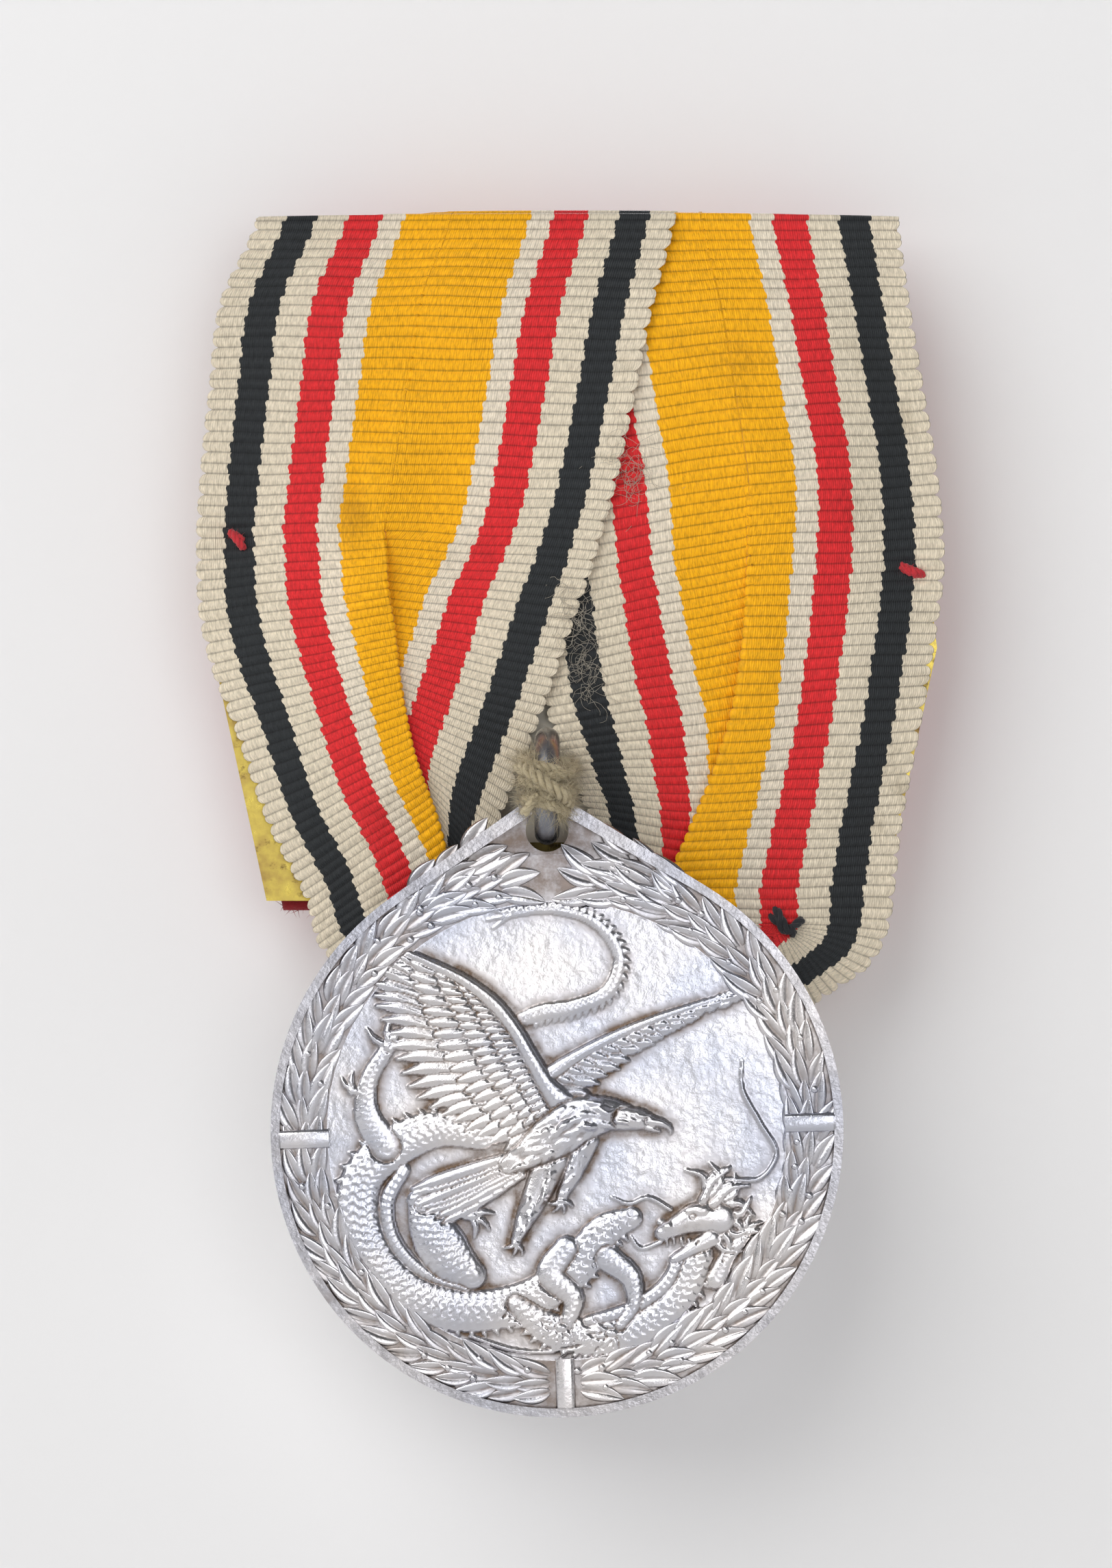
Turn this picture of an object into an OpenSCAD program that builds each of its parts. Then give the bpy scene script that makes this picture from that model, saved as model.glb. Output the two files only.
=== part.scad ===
// Service medal on a court mount: a struck steel medal that hangs by a wire ring
// from a folded ribbon, sewn over a brass plate with a brooch pin behind.
// X runs to the viewer's right, Z up, and Y back towards the coat.
// The origin is on the axis of the brooch pin. All sizes are in millimetres.

/* [Medal] */
// Diameter of the round part of the medal
medal_d = 32; // [26:0.5:40]
// Thickness over the rims
medal_t = 2.6; // [2:0.1:3.4]
// How far the pointed top rises past the round part
tip_rise = 3.1; // [2.5:0.1:6]
// Radius that rounds the pointed top
tip_r = 0.5; // [0.3:0.1:1]
// Width of the raised rim
rim_w = 0.5; // [0.3:0.1:1]
// Metal left between the hole and the pointed top
hole_wall = 1.13; // [0.8:0.01:2]
// How far the field lies below the rim on each face
field_depth = 0.45; // [0.2:0.05:0.6]
// Width of the wreath's band inside the rim
wreath_w = 2.6; // [1.5:0.1:4]
// How far the wreath's band stands above the field
wreath_h = 0.2; // [0.1:0.05:0.4]
// Angle that the medal leans as it hangs
medal_lean = 1.9; // [-5:0.1:5]

/* [Suspension ring] */
// Diameter of the ring's wire
wire_d = 1.4; // [1:0.1:1.8]
// Room between the medal's faces and the inside of the ring
ring_room = 0.6; // [0.4:0.1:1]
// Room left around the wire in the medal's hole
hole_room = 0.19; // [0.1:0.01:0.4]
// Gap where the hanging medal bears on the ring
bearing_gap = 0.07; // [0.03:0.01:0.15]
// Distance of the medal's hole left of the mount's middle
ring_left = 1.54; // [-3:0.1:3]
// Height of the medal's hole above the plate's lower edge
ring_up = 4; // [2:0.1:8]

/* [Backing plate] */
// Width of the plate's upper edge
plate_top_w = 35.2; // [28:0.1:44]
// Width of the plate at its widest
plate_mid_w = 41; // [32:0.1:50]
// Width of the plate's lower edge
plate_low_w = 34.8; // [28:0.1:44]
// Height of the plate
plate_h = 38.3; // [32:0.1:48]
// Height of the widest place above the lower edge
plate_mid_up = 14.3; // [10:0.1:18]
// Thickness of the brass sheet
plate_t = 0.5; // [0.3:0.1:1]
// Height of the plate's upper edge above the pin
pin_drop = 10.8; // [7:0.1:15]

/* [Ribbon and padding] */
// Thickness of one layer of ribbon
ribbon_t = 0.45; // [0.3:0.05:0.6]
// Layers of ribbon in the pleats at the front
front_layers = 4; // [2:1:5]
// How far the selvedges reach past the plate at its widest
selvedge_over = 0.5; // [0.2:0.1:1.5]
// Length of the ribbon's ends behind the plate
tail_l = 6.4; // [3:0.1:7]
// How far the ribbon's turn hangs below the plate
turn_drop = 8.5; // [7:0.1:12]
// Thickness of the cotton wadding
wadding_t = 1.2; // [0.6:0.1:2]
// Distance of the wadding's edge inside the plate's edge
wadding_inset = 3; // [2:0.1:5]
// Gap between the ribbon and the medal
medal_gap = 0.3; // [0.2:0.05:0.6]

/* [Felt] */
// Thickness of the felt
felt_t = 1; // [0.6:0.1:1.5]
// Distance of the felt's sides inside the plate's sides
felt_inset = 0.8; // [0.6:0.1:2]
// How far the felt hangs below the plate
felt_drop = 0.55; // [0.3:0.05:1]
// Room around the pin's fittings in the felt
window_gap = 0.4; // [0.2:0.1:0.8]

/* [Brooch pin] */
// Diameter of the pin's shaft
pin_d = 0.9; // [0.7:0.1:1.2]
// Distance between the hinge and the catch
pin_span = 24.4; // [18:0.1:28]
// Gap between the felt and the pin's shaft, for the coat's cloth
cloth_gap = 1.55; // [1.2:0.05:2.5]
// Diameter of the tip
tip_d = 0.15; // [0.1:0.05:0.3]
// Length of the pin's taper
taper_l = 7.5; // [6.5:0.1:9]
// How far the tip stands past the middle of the catch
tip_over = 2.5; // [1.5:0.1:3.5]
// Diameter of the hinge's rivet
rivet_d = 0.8; // [0.6:0.1:1]
// Running clearance of the rivet, the eye and the yarn
run_gap = 0.05; // [0.02:0.01:0.08]
// Thickness of the fittings' sheet brass
fitting_t = 0.5; // [0.4:0.1:0.8]
// Width of the catch along the pin
catch_w = 2.4; // [1.5:0.1:3]

/* [Sewing] */
// Diameter of the red sewing thread
thread_d = 0.5; // [0.3:0.05:0.7]
// Room around a thread in its hole
thread_room = 0.1; // [0.05:0.05:0.2]
// Length of a stitch
stitch_l = 1.4; // [1:0.1:2]
// Stitches along the felt's upper edge
top_stitches = 7; // [3:1:9]
// Stitches along the felt's lower edge
low_stitches = 5; // [3:1:7]
// Diameter of the linen yarn
yarn_d = 1; // [0.7:0.05:1.1]
// Distance between the yarn's holes in the plate
yarn_span = 5.2; // [4.6:0.1:7]
// Diameter of the yarn's knot on the ring
knot_d = 2.5; // [2.2:0.1:3.6]

/* [Hidden] */
$fn = 48;
eps = 0.01;

brass = "#b9983f";
steel = "#a9a9ac";
cream = "#ddd6bd";
red = "#c8202a";
linen = "#b8a97c";
black = "#26282c";

// The layers from back to front
felt_back = -(pin_d / 2 + cloth_gap);
felt_front = felt_back - felt_t;
plate_back = felt_front - ribbon_t;
plate_front = plate_back - plate_t;
wadding_front = plate_front - wadding_t;
ribbon_front = wadding_front - ribbon_t * front_layers;
turn_front = ribbon_front + 0.6;
turn_back = turn_front + ribbon_t * front_layers;
medal_back = ribbon_front - medal_gap;
medal_middle = medal_back - medal_t / 2;
medal_front = medal_back - medal_t;

// The plate's outline
plate_top = pin_drop;
plate_low = plate_top - plate_h;
plate_mid = plate_low + plate_mid_up;
ribbon_top = plate_top + ribbon_t;

// The ring and the medal's hole. The ring stands at right angles to the medal.
ring_in = medal_t / 2 + ring_room;
ring_mean = ring_in + wire_d / 2;
ring_out = ring_in + wire_d;
bearing_rise = sqrt(pow(ring_in - bearing_gap, 2) - pow(medal_t / 2, 2));
hole_r = (ring_out - bearing_rise) / 2 + hole_room;
hole_x = -ring_left;
hole_z = plate_low + ring_up;
ring_z = hole_z + hole_r + bearing_rise;
yarn_z = ring_z + ring_in - yarn_d / 2 - run_gap;
yarn_bend = yarn_d;
yarn_back_t = ribbon_t - 0.05;

// The medal's outline. The flanks are tangents from the rounded top to the round part.
medal_tip = medal_d / 2 + tip_rise;
tip_up = medal_tip - tip_r;
hole_up = medal_tip - hole_wall - hole_r;

// The pin's fittings
hinge_x = pin_span / 2 + 0.2;
catch_x = hinge_x - pin_span;
tip_x = catch_x - tip_over;
eye_r = rivet_d / 2 + 0.7;
eye_t = pin_d + 0.1;
ear_out = eye_r - 0.1;
catch_in = pin_d / 2 + 0.05;
catch_out = catch_in + fitting_t;
catch_mouth = pin_d * 0.68;
foot_w = 4.4;
catch_foot_w = 4;

// The stitches through the ribbon
side_stitch_x = plate_mid_w / 2 - 1.5;
left_stitch_z = plate_mid + 6.1;
right_stitch_z = plate_mid + 4.3;
thread_hole_r = thread_d / 2 + thread_room;
corner_stitch_x = plate_low_w / 2 - 5.4;
corner_stitch_z = plate_low - 1.7;

function plate_outline(inset = 0, low = 0) = [
    [-plate_top_w / 2 + inset, plate_top - inset],
    [-plate_mid_w / 2 + inset, plate_mid],
    [-plate_low_w / 2 + inset, plate_low - low],
    [plate_low_w / 2 - inset, plate_low - low],
    [plate_mid_w / 2 - inset, plate_mid],
    [plate_top_w / 2 - inset, plate_top - inset]];

// A flat piece with its outline in the XZ plane, from the depth back to the depth front
module slab(outline, back, front)
    translate([0, back, 0]) rotate([90, 0, 0])
        linear_extrude(height = back - front) polygon(outline);

// A round bar along Y
module bar_y(x, z, d, back, front)
    translate([x, back, z]) rotate([90, 0, 0]) cylinder(d = d, h = back - front);

// A round bar along X
module bar_x(from, to, d, y, z)
    translate([from, y, z]) rotate([0, 90, 0]) cylinder(d = d, h = to - from);

// A box from corner to corner
module box(low, high)
    translate(low) cube([high[0] - low[0], high[1] - low[1], high[2] - low[2]]);

// The round part, the rounded top and the flanks between them, shrunk by inset
module medal_blank(inset, h) {
    big = medal_d / 2 - inset;
    small = max(tip_r - inset, 0.05);
    top = tip_up - inset * 0.9;
    lean = asin((big - small) / top);
    cylinder(r = big, h = h, $fn = 96);
    translate([0, top, 0]) cylinder(r = small, h = h);
    linear_extrude(height = h) polygon([
        [big * cos(lean), big * sin(lean)],
        [small * cos(lean), top + small * sin(lean)],
        [-small * cos(lean), top + small * sin(lean)],
        [-big * cos(lean), big * sin(lean)]]);
}

// One face of the medal: the sunk field with the wreath's band left standing in it
module face_recess() {
    wreath_out = medal_d / 2 - rim_w - 0.1;
    difference() {
        medal_blank(rim_w, field_depth + eps);
        difference() {
            cylinder(r = wreath_out, h = wreath_h, $fn = 96);
            translate([0, 0, -eps])
                cylinder(r = wreath_out - wreath_w, h = wreath_h + 2 * eps, $fn = 96);
        }
    }
}

module medal() color(steel)
    translate([hole_x, medal_back, hole_z]) rotate([90, 0, 0]) rotate([0, 0, medal_lean])
        translate([0, -hole_up, 0]) difference() {
            medal_blank(0, medal_t);
            translate([0, 0, medal_t - field_depth]) face_recess();
            translate([0, 0, field_depth]) mirror([0, 0, 1]) face_recess();
            translate([0, hole_up, -1]) cylinder(r = hole_r, h = medal_t + 2);
        }

module suspension_ring() color(steel)
    translate([hole_x, medal_middle, ring_z]) rotate([0, 90, 0])
        rotate_extrude($fn = 72) translate([ring_mean, 0]) circle(d = wire_d, $fn = 32);

// The linen yarn runs through the ring, then back through two holes in the plate
module binding_yarn() color(linen) {
    leg_x = yarn_span / 2;
    bar_x(hole_x - leg_x + yarn_bend, hole_x + leg_x - yarn_bend, yarn_d, medal_middle, yarn_z);
    for (side = [-1, 1])
        translate([hole_x + side * (leg_x - yarn_bend), medal_middle + yarn_bend, yarn_z])
            rotate([0, 0, side > 0 ? -90 : 180]) rotate_extrude(angle = 90)
                translate([yarn_bend, 0]) circle(d = yarn_d, $fn = 32);
    for (side = [-1, 1])
        bar_y(hole_x + side * leg_x, yarn_z, yarn_d, plate_back, medal_middle + yarn_bend);
    box([hole_x - leg_x - yarn_d / 2, plate_back, yarn_z - yarn_d / 2],
        [hole_x + leg_x + yarn_d / 2, plate_back + yarn_back_t, yarn_z + yarn_d / 2]);
}

// The yarn's knot, pulled tight round the front of the ring, clear of the medal's face
module yarn_knot() color(linen) {
    knot_left = 0.2;
    knot_span = 54;
    knot_mid = ring_in - 0.25 + knot_d / 2;
    translate([hole_x, medal_middle, ring_z]) rotate([0, 90, 0]) rotate([0, 0, -90 - knot_span / 2])
        rotate_extrude(angle = knot_span, $fn = 72) difference() {
            translate([knot_mid, -knot_left]) circle(d = knot_d, $fn = 32);
            translate([ring_mean, 0]) circle(d = wire_d, $fn = 32);
        }
}

// Clear space round the yarn's two legs
module yarn_holes()
    for (side = [-1, 1])
        bar_y(hole_x + side * yarn_span / 2, yarn_z, yarn_d + 2 * thread_room, 0, medal_back);

// Clear space round the two red threads at the sides
module side_stitch_holes() {
    bar_y(-side_stitch_x, left_stitch_z, 2 * thread_hole_r, 0, medal_back);
    bar_y(side_stitch_x, right_stitch_z, 2 * thread_hole_r, 0, medal_back);
}

module backing_plate() color(brass) difference() {
    slab(plate_outline(), plate_back, plate_front);
    side_stitch_holes();
    yarn_holes();
}

// The felt's corners are cut off, and its middle is cut away round the pin's fittings
module felt_backing() color(red) difference() {
    cut = 1.1;
    side = -felt_inset;
    slab([
        [-plate_top_w / 2 - side + cut, plate_top - felt_inset],
        [-plate_top_w / 2 - side, plate_top - felt_inset - cut],
        [-plate_mid_w / 2 - side, plate_mid],
        [-plate_low_w / 2 - side, plate_low + cut],
        [-plate_low_w / 2 - side + cut, plate_low - felt_drop],
        [plate_low_w / 2 + side - cut, plate_low - felt_drop],
        [plate_low_w / 2 + side, plate_low + cut],
        [plate_mid_w / 2 + side, plate_mid],
        [plate_top_w / 2 + side, plate_top - felt_inset - cut],
        [plate_top_w / 2 + side - cut, plate_top - felt_inset]], felt_back, felt_front);
    side_stitch_holes();
    fitting_window(hinge_x, foot_w);
    fitting_window(catch_x, catch_foot_w);
}

module fitting_window(x, w) {
    half = w / 2 + window_gap;
    box([x - half, felt_front - 1, -half], [x + half, felt_back + 1, half]);
}

// The wadding lies between the plate and the ribbon, and is cut away round the ring
module wadding_pad() color("white") difference() {
    slab(plate_outline(inset = wadding_inset, low = -wadding_inset), plate_front, wadding_front);
    ring_room_cut(plate_front + 1, wadding_front - 1);
    side_stitch_holes();
}

// The gap between the ribbon's folds that the ring and its yarn come through
module ring_room_cut(back, front) {
    half = yarn_span / 2 + yarn_d / 2 + 0.15;
    reach = ring_out + 0.25;
    box([hole_x - half, front, ring_z - reach], [hole_x + half, back, ring_z + reach]);
}

// The folded ribbon: its panels at the front, the turn behind the medal, the bend over
// the plate's upper edge and the two ends behind the plate
module ribbon() color(cream) {
    over = selvedge_over;
    top = plate_top_w / 2 + over;
    mid = plate_mid_w / 2 + over;
    low = plate_low_w / 2;
    overlap = 0.6;
    difference() {
        union() {
            slab([[-top, ribbon_top], [-mid, plate_mid + 6], [-mid + 0.2, plate_mid],
                [-low + 2.1, plate_low - overlap], [low + 0.4, plate_low - overlap],
                [mid - 0.3, plate_mid], [mid, plate_mid + 6], [top, ribbon_top]],
                wadding_front, ribbon_front);
            slab([[-low + 2.1, plate_low], [-low + 3.6, plate_low - 0.36 * turn_drop],
                [-low + 9, plate_low - 0.86 * turn_drop], [0, plate_low - turn_drop],
                [low - 7.6, plate_low - 0.86 * turn_drop], [low - 1.2, plate_low - 0.46 * turn_drop],
                [low + 0.4, plate_low]],
                turn_back, turn_front);
            box([-top, ribbon_front, plate_top], [top, felt_front, ribbon_top]);
            box([-top, plate_back, plate_top - tail_l], [top, felt_front, plate_top + eps]);
        }
        side_stitch_holes();
        ring_room_cut(0, medal_back);
        corner_stitch_holes(thread_hole_r);
    }
}

module corner_stitch_holes(r)
    for (side = [-1, 1])
        bar_y(corner_stitch_x + side * stitch_l / 2, corner_stitch_z, 2 * r, 0, medal_back);

// A thread that goes through from front to back: a run on each face and two legs
module through_stitch(x, z, half, back, front, tilt) {
    translate([x, 0, z]) rotate([0, tilt, 0]) {
        bar_x(-half, half, thread_d, front - thread_d / 2, 0);
        for (side = [-1, 1]) translate([side * half, front - thread_d / 2, 0]) sphere(d = thread_d);
    }
    bar_y(x, z, thread_d, back + thread_d / 2, front - thread_d / 2);
    translate([x, back + thread_d / 2, z]) sphere(d = 1.3 * thread_d);
}

module left_stitch() color(red)
    through_stitch(-side_stitch_x, left_stitch_z, stitch_l / 2, felt_back, ribbon_front, 50);

module right_stitch() color(red)
    through_stitch(side_stitch_x, right_stitch_z, stitch_l / 2, felt_back, ribbon_front, 20);

// The black thread that gathers the ribbon's corner: a sagging run between two legs
module corner_stitch() color(black) {
    sag_r = stitch_l / 2;
    run_y = turn_front - thread_d / 2;
    translate([corner_stitch_x, run_y, corner_stitch_z]) rotate([-90, 0, 0])
        rotate_extrude(angle = 180) translate([sag_r, 0]) circle(d = thread_d, $fn = 32);
    for (side = [-1, 1])
        bar_y(corner_stitch_x + side * sag_r, corner_stitch_z, thread_d, turn_back + thread_d / 2, run_y);
    bar_x(corner_stitch_x - sag_r, corner_stitch_x + sag_r, thread_d,
        turn_back + thread_d / 2, corner_stitch_z);
}

// Short stitches over the felt's upper and lower edges
module felt_stitches() color(red) {
    top_z = plate_top - felt_inset;
    low_z = plate_low - felt_drop;
    top_step = (plate_top_w - 2 * felt_inset - 5) / (top_stitches - 1);
    low_step = (plate_low_w - 2 * felt_inset - 8) / (low_stitches - 1);
    for (i = [0 : top_stitches - 1])
        edge_stitch(-(top_stitches - 1) / 2 * top_step + i * top_step, top_z + thread_d / 2, -1);
    for (i = [0 : low_stitches - 1])
        edge_stitch(-(low_stitches - 1) / 2 * low_step + i * low_step, low_z - thread_d / 2, 1);
}

// One stitch: a run on the felt's back and a leg down its edge
module edge_stitch(x, z, inward) {
    translate([x, felt_back + thread_d / 2, z]) {
        rotate([inward > 0 ? 0 : 180, 0, 0]) cylinder(d = thread_d, h = stitch_l);
        sphere(d = thread_d);
        translate([0, 0, inward * stitch_l]) sphere(d = thread_d);
    }
    bar_y(x, z, thread_d, felt_back + thread_d / 2, felt_front);
}

// The hinge: a foot soldered to the plate, with two ears for the rivet
module pin_hinge_bracket() color(brass) difference() {
    ear_in = eye_t / 2 + run_gap;
    union() {
        box([hinge_x - foot_w / 2, plate_back, -foot_w / 2],
            [hinge_x + foot_w / 2, plate_back + fitting_t, foot_w / 2]);
        for (side = [-1, 1]) translate([hinge_x, 0, side * (ear_in + fitting_t / 2)]) {
            cylinder(r = ear_out, h = fitting_t, center = true);
            translate([-ear_out, plate_back + eps, -fitting_t / 2])
                cube([2 * ear_out, -plate_back - eps, fitting_t]);
        }
    }
    translate([hinge_x, 0, -foot_w]) cylinder(d = rivet_d, h = 2 * foot_w);
}

module hinge_rivet() color(brass) {
    ear_face = eye_t / 2 + run_gap + fitting_t;
    head_t = 0.3;
    translate([hinge_x, 0, -ear_face]) cylinder(d = rivet_d, h = 2 * ear_face);
    for (side = [-1, 1]) translate([hinge_x, 0, side * (ear_face + head_t / 2)])
        cylinder(d = rivet_d + 0.6, h = head_t, center = true);
}

// The pin: an eye for the rivet, a straight shaft and a long taper
module brooch_pin() color(steel) {
    taper_x = tip_x + taper_l;
    difference() {
        union() {
            translate([hinge_x, 0, 0]) cylinder(r = eye_r, h = eye_t, center = true);
            bar_x(taper_x, hinge_x - rivet_d / 2 - 0.2, pin_d, 0, 0);
        }
        translate([hinge_x, 0, -foot_w]) cylinder(d = rivet_d + 2 * run_gap, h = 2 * foot_w);
    }
    translate([tip_x, 0, 0]) rotate([0, 90, 0]) cylinder(d1 = tip_d, d2 = pin_d, h = taper_l);
}

// The catch: a foot, a stem and a C that is open at the back, where the pin snaps in
module pin_catch() color(brass) {
    half = catch_w / 2;
    box([catch_x - half, plate_back, -catch_foot_w / 2],
        [catch_x + half, plate_back + fitting_t, catch_foot_w / 2]);
    difference() {
        union() {
            translate([catch_x - half, 0, 0]) rotate([0, 90, 0]) cylinder(r = catch_out, h = catch_w);
            box([catch_x - half, plate_back + eps, -fitting_t / 2],
                [catch_x + half, -catch_in - 0.1, fitting_t / 2]);
        }
        translate([catch_x - catch_w, 0, 0]) rotate([0, 90, 0]) cylinder(r = catch_in, h = 2 * catch_w);
        box([catch_x - catch_w, 0, -catch_mouth / 2], [catch_x + catch_w, catch_out + 1, catch_mouth / 2]);
    }
}

backing_plate();
felt_backing();
wadding_pad();
ribbon();
pin_hinge_bracket();
hinge_rivet();
brooch_pin();
pin_catch();
suspension_ring();
binding_yarn();
yarn_knot();
medal();
left_stitch();
right_stitch();
corner_stitch();
felt_stitches();
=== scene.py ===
# %% [markdown]
# # A service medal on its court mount
# A court mount is a stiff little sandwich: a brass plate with a brooch pin on its back, a pad of
# cotton wadding on its front, and a striped ribbon pleated over the pad and sewn down. A struck
# steel medal hangs in front by a plain wire ring that is tied on with linen yarn.
# The CAD model gives every size and every place, so the first cell loads it as a fixed frame.

# %% Load the frame
import math

import bmesh
import bpy
import numpy as np
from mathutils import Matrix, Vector


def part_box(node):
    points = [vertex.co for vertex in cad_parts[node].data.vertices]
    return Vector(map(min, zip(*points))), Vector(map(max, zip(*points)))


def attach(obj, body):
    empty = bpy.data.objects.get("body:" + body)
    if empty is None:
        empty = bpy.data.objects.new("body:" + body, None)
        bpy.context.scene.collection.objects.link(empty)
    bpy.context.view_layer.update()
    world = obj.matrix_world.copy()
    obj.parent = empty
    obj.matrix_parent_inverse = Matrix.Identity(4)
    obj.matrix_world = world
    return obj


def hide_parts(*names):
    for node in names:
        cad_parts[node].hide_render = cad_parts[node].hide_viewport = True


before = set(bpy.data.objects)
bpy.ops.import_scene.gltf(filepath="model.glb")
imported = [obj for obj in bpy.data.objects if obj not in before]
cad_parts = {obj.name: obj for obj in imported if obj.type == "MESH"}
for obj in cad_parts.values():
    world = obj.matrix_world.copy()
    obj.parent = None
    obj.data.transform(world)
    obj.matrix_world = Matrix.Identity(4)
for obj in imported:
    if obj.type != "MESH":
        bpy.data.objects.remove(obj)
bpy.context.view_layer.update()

MM = 0.001

# %% [markdown]
# ## Places taken from the CAD model
# Nothing here is measured by eye: each number is read from the box of a CAD piece. The medal hangs
# a little out of plumb, and its own drawing is made straight and then turned by that lean about
# its middle, so the ring and the medal's middle are worked out first.

# %% Read the places of the main pieces
def corners_mm(node):
    """Lowest and highest corner of a CAD node, in millimetres."""
    low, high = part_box(node)
    return np.array(low) / MM, np.array(high) / MM


plate_low, plate_high = corners_mm("backing_plate")
felt_low, felt_high = corners_mm("felt_backing")
wadding_low, wadding_high = corners_mm("wadding_pad")
ribbon_low, ribbon_high = corners_mm("ribbon")
ring_low, ring_high = corners_mm("suspension_ring")
medal_low, medal_high = corners_mm("medal")

PLATE_FRONT, PLATE_BACK = plate_low[1], plate_high[1]
RIBBON_FRONT = ribbon_low[1]
MEDAL_FRONT = medal_low[1]
RING_MIDDLE = (ring_low + ring_high) / 2
WIRE_R = (ring_high[0] - ring_low[0]) / 2
RING_R = (ring_high[2] - ring_low[2]) / 2 - WIRE_R
MEDAL_R = (medal_high[0] - medal_low[0]) / 2
MEDAL_LEAN = math.radians(1.9)
MEDAL_MIDDLE = np.array([(medal_low[0] + medal_high[0]) / 2, (medal_low[1] + medal_high[1]) / 2,
                         medal_low[2] + MEDAL_R])

# %% [markdown]
# ## Small tools
# Colours are written as the hex values a paint program shows, which are sRGB. Blender's shaders
# work in linear light, so one function turns hex to linear. One more adds a shader or geometry node
# with its settings and links, and a third draws a smooth curve through a few chosen stations: a
# cubic Hermite curve, the same kind that an animator's graph editor draws through keyframes.

# %% Colour, node and mesh helpers
def linear(hex_colour):
    """An sRGB hex colour such as "#c8202a" as linear RGBA."""
    parts = [int(hex_colour[i : i + 2], 16) / 255 for i in (1, 3, 5)]
    return [p / 12.92 if p <= 0.04045 else ((p + 0.055) / 1.055) ** 2.4 for p in parts] + [1.0]


def feed(tree, node, inputs):
    """Fill a node's inputs. Each is given a value, or an output socket to link from."""
    for key, value in inputs.items():
        if isinstance(value, bpy.types.NodeSocket):
            tree.links.new(value, node.inputs[key])
        else:
            node.inputs[key].default_value = value


def add_node(tree, kind, settings=None, inputs=None):
    """Add a node with these properties and these inputs."""
    made = tree.nodes.new(kind)
    for name, value in (settings or {}).items():
        setattr(made, name, value)
    feed(tree, made, inputs or {})
    return made


def calc(tree, operation, a, b=0.0, c=0.0, clamp=False):
    """The result of a math node, in a shader tree or a geometry tree."""
    settings = {"operation": operation, "use_clamp": clamp}
    return add_node(tree, "ShaderNodeMath", settings, {0: a, 1: b, 2: c}).outputs[0]


def vector_calc(tree, operation, a, *b, scale=None):
    """The outputs of a vector math node: SCALE takes a scale, NORMALIZE nothing, the others b."""
    values = {0: a, **({"Scale": scale} if operation == "SCALE" else {}), **dict(enumerate(b, 1))}
    return add_node(tree, "ShaderNodeVectorMath", {"operation": operation}, values).outputs


def object_spot(tree):
    """Where on the object a point is, in metres."""
    return add_node(tree, "ShaderNodeTexCoord").outputs["Object"]


def noise(tree, spot, scale, detail=3.0, roughness=0.55):
    """A noise texture's value. scale counts features per metre, or per unit of spot."""
    inputs = {"Vector": spot, "Scale": scale, "Detail": detail, "Roughness": roughness}
    return add_node(tree, "ShaderNodeTexNoise", inputs=inputs).outputs["Fac"]


def ranged(tree, value, low, high, to_low, to_high, kind="LINEAR"):
    """A value carried over from one range to another, and clamped there."""
    inputs = {"Value": value, "From Min": low, "From Max": high, "To Min": to_low,
              "To Max": to_high}
    return add_node(tree, "ShaderNodeMapRange", {"interpolation_type": kind}, inputs).outputs[0]


def mixed(tree, factor, a, b, blend="MIX"):
    """Two colours mixed by a factor."""
    settings = {"data_type": "RGBA", "blend_type": blend}
    return add_node(tree, "ShaderNodeMix", settings, {"Factor": factor, 6: a, 7: b}).outputs[2]


def bump(tree, height, strength, distance):
    """A shading normal that follows a height, without moving a point of the mesh."""
    inputs = {"Height": height, "Strength": strength, "Distance": distance}
    return add_node(tree, "ShaderNodeBump", inputs=inputs).outputs["Normal"]


def new_material(name):
    """A material with only a Principled shader. Returns the material, its tree and the shader."""
    material = bpy.data.materials.new(name)
    material.use_nodes = True
    shader = material.node_tree.nodes["Principled BSDF"]
    return material, material.node_tree, shader


def through_stations(stations, wanted):
    """Smooth rows through stations. Each station is (position, value, value, ...)."""
    table = np.array(stations, float)
    at, values = table[:, 0], table[:, 1:]
    slope = np.gradient(values, at, axis=0)
    wanted = np.clip(wanted, at[0], at[-1])
    i = np.clip(np.searchsorted(at, wanted, side="right") - 1, 0, len(at) - 2)
    step = (at[i + 1] - at[i])[:, None]
    t = ((wanted - at[i]) / step[:, 0])[:, None]
    return ((2 * t**3 - 3 * t**2 + 1) * values[i] + (t**3 - 2 * t**2 + t) * step * slope[i]
            + (-2 * t**3 + 3 * t**2) * values[i + 1] + (t**3 - t**2) * step * slope[i + 1])


def smoothstep(low, high, x):
    t = np.clip((x - low) / (high - low), 0, 1)
    return t * t * (3 - 2 * t)


def mesh_from(name, points_mm, faces, material, smooth=True):
    """A new object from points in millimetres and faces as lists of point numbers."""
    mesh = bpy.data.meshes.new(name)
    mesh.from_pydata((np.asarray(points_mm, float) * MM).tolist(), [], faces)
    mesh.materials.append(material)
    if smooth:
        mesh.shade_smooth()
    made = bpy.data.objects.new(name, mesh)
    bpy.context.collection.objects.link(made)
    return made


def grid_faces(rows, columns):
    """The quads of a rows by columns grid of points, row after row."""
    i = np.arange(rows - 1)[:, None] * columns + np.arange(columns - 1)[None, :]
    return np.stack([i, i + 1, i + columns + 1, i + columns], -1).reshape(-1, 4).tolist()


def set_attribute(mesh, name, values, kind="FLOAT"):
    """Store one value per point on a mesh, for materials and geometry nodes to read."""
    attribute = mesh.attributes.new(name, kind, "POINT")
    field = "vector" if kind == "FLOAT_VECTOR" else "value"
    attribute.data.foreach_set(field, np.asarray(values, np.float32).ravel())


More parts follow.
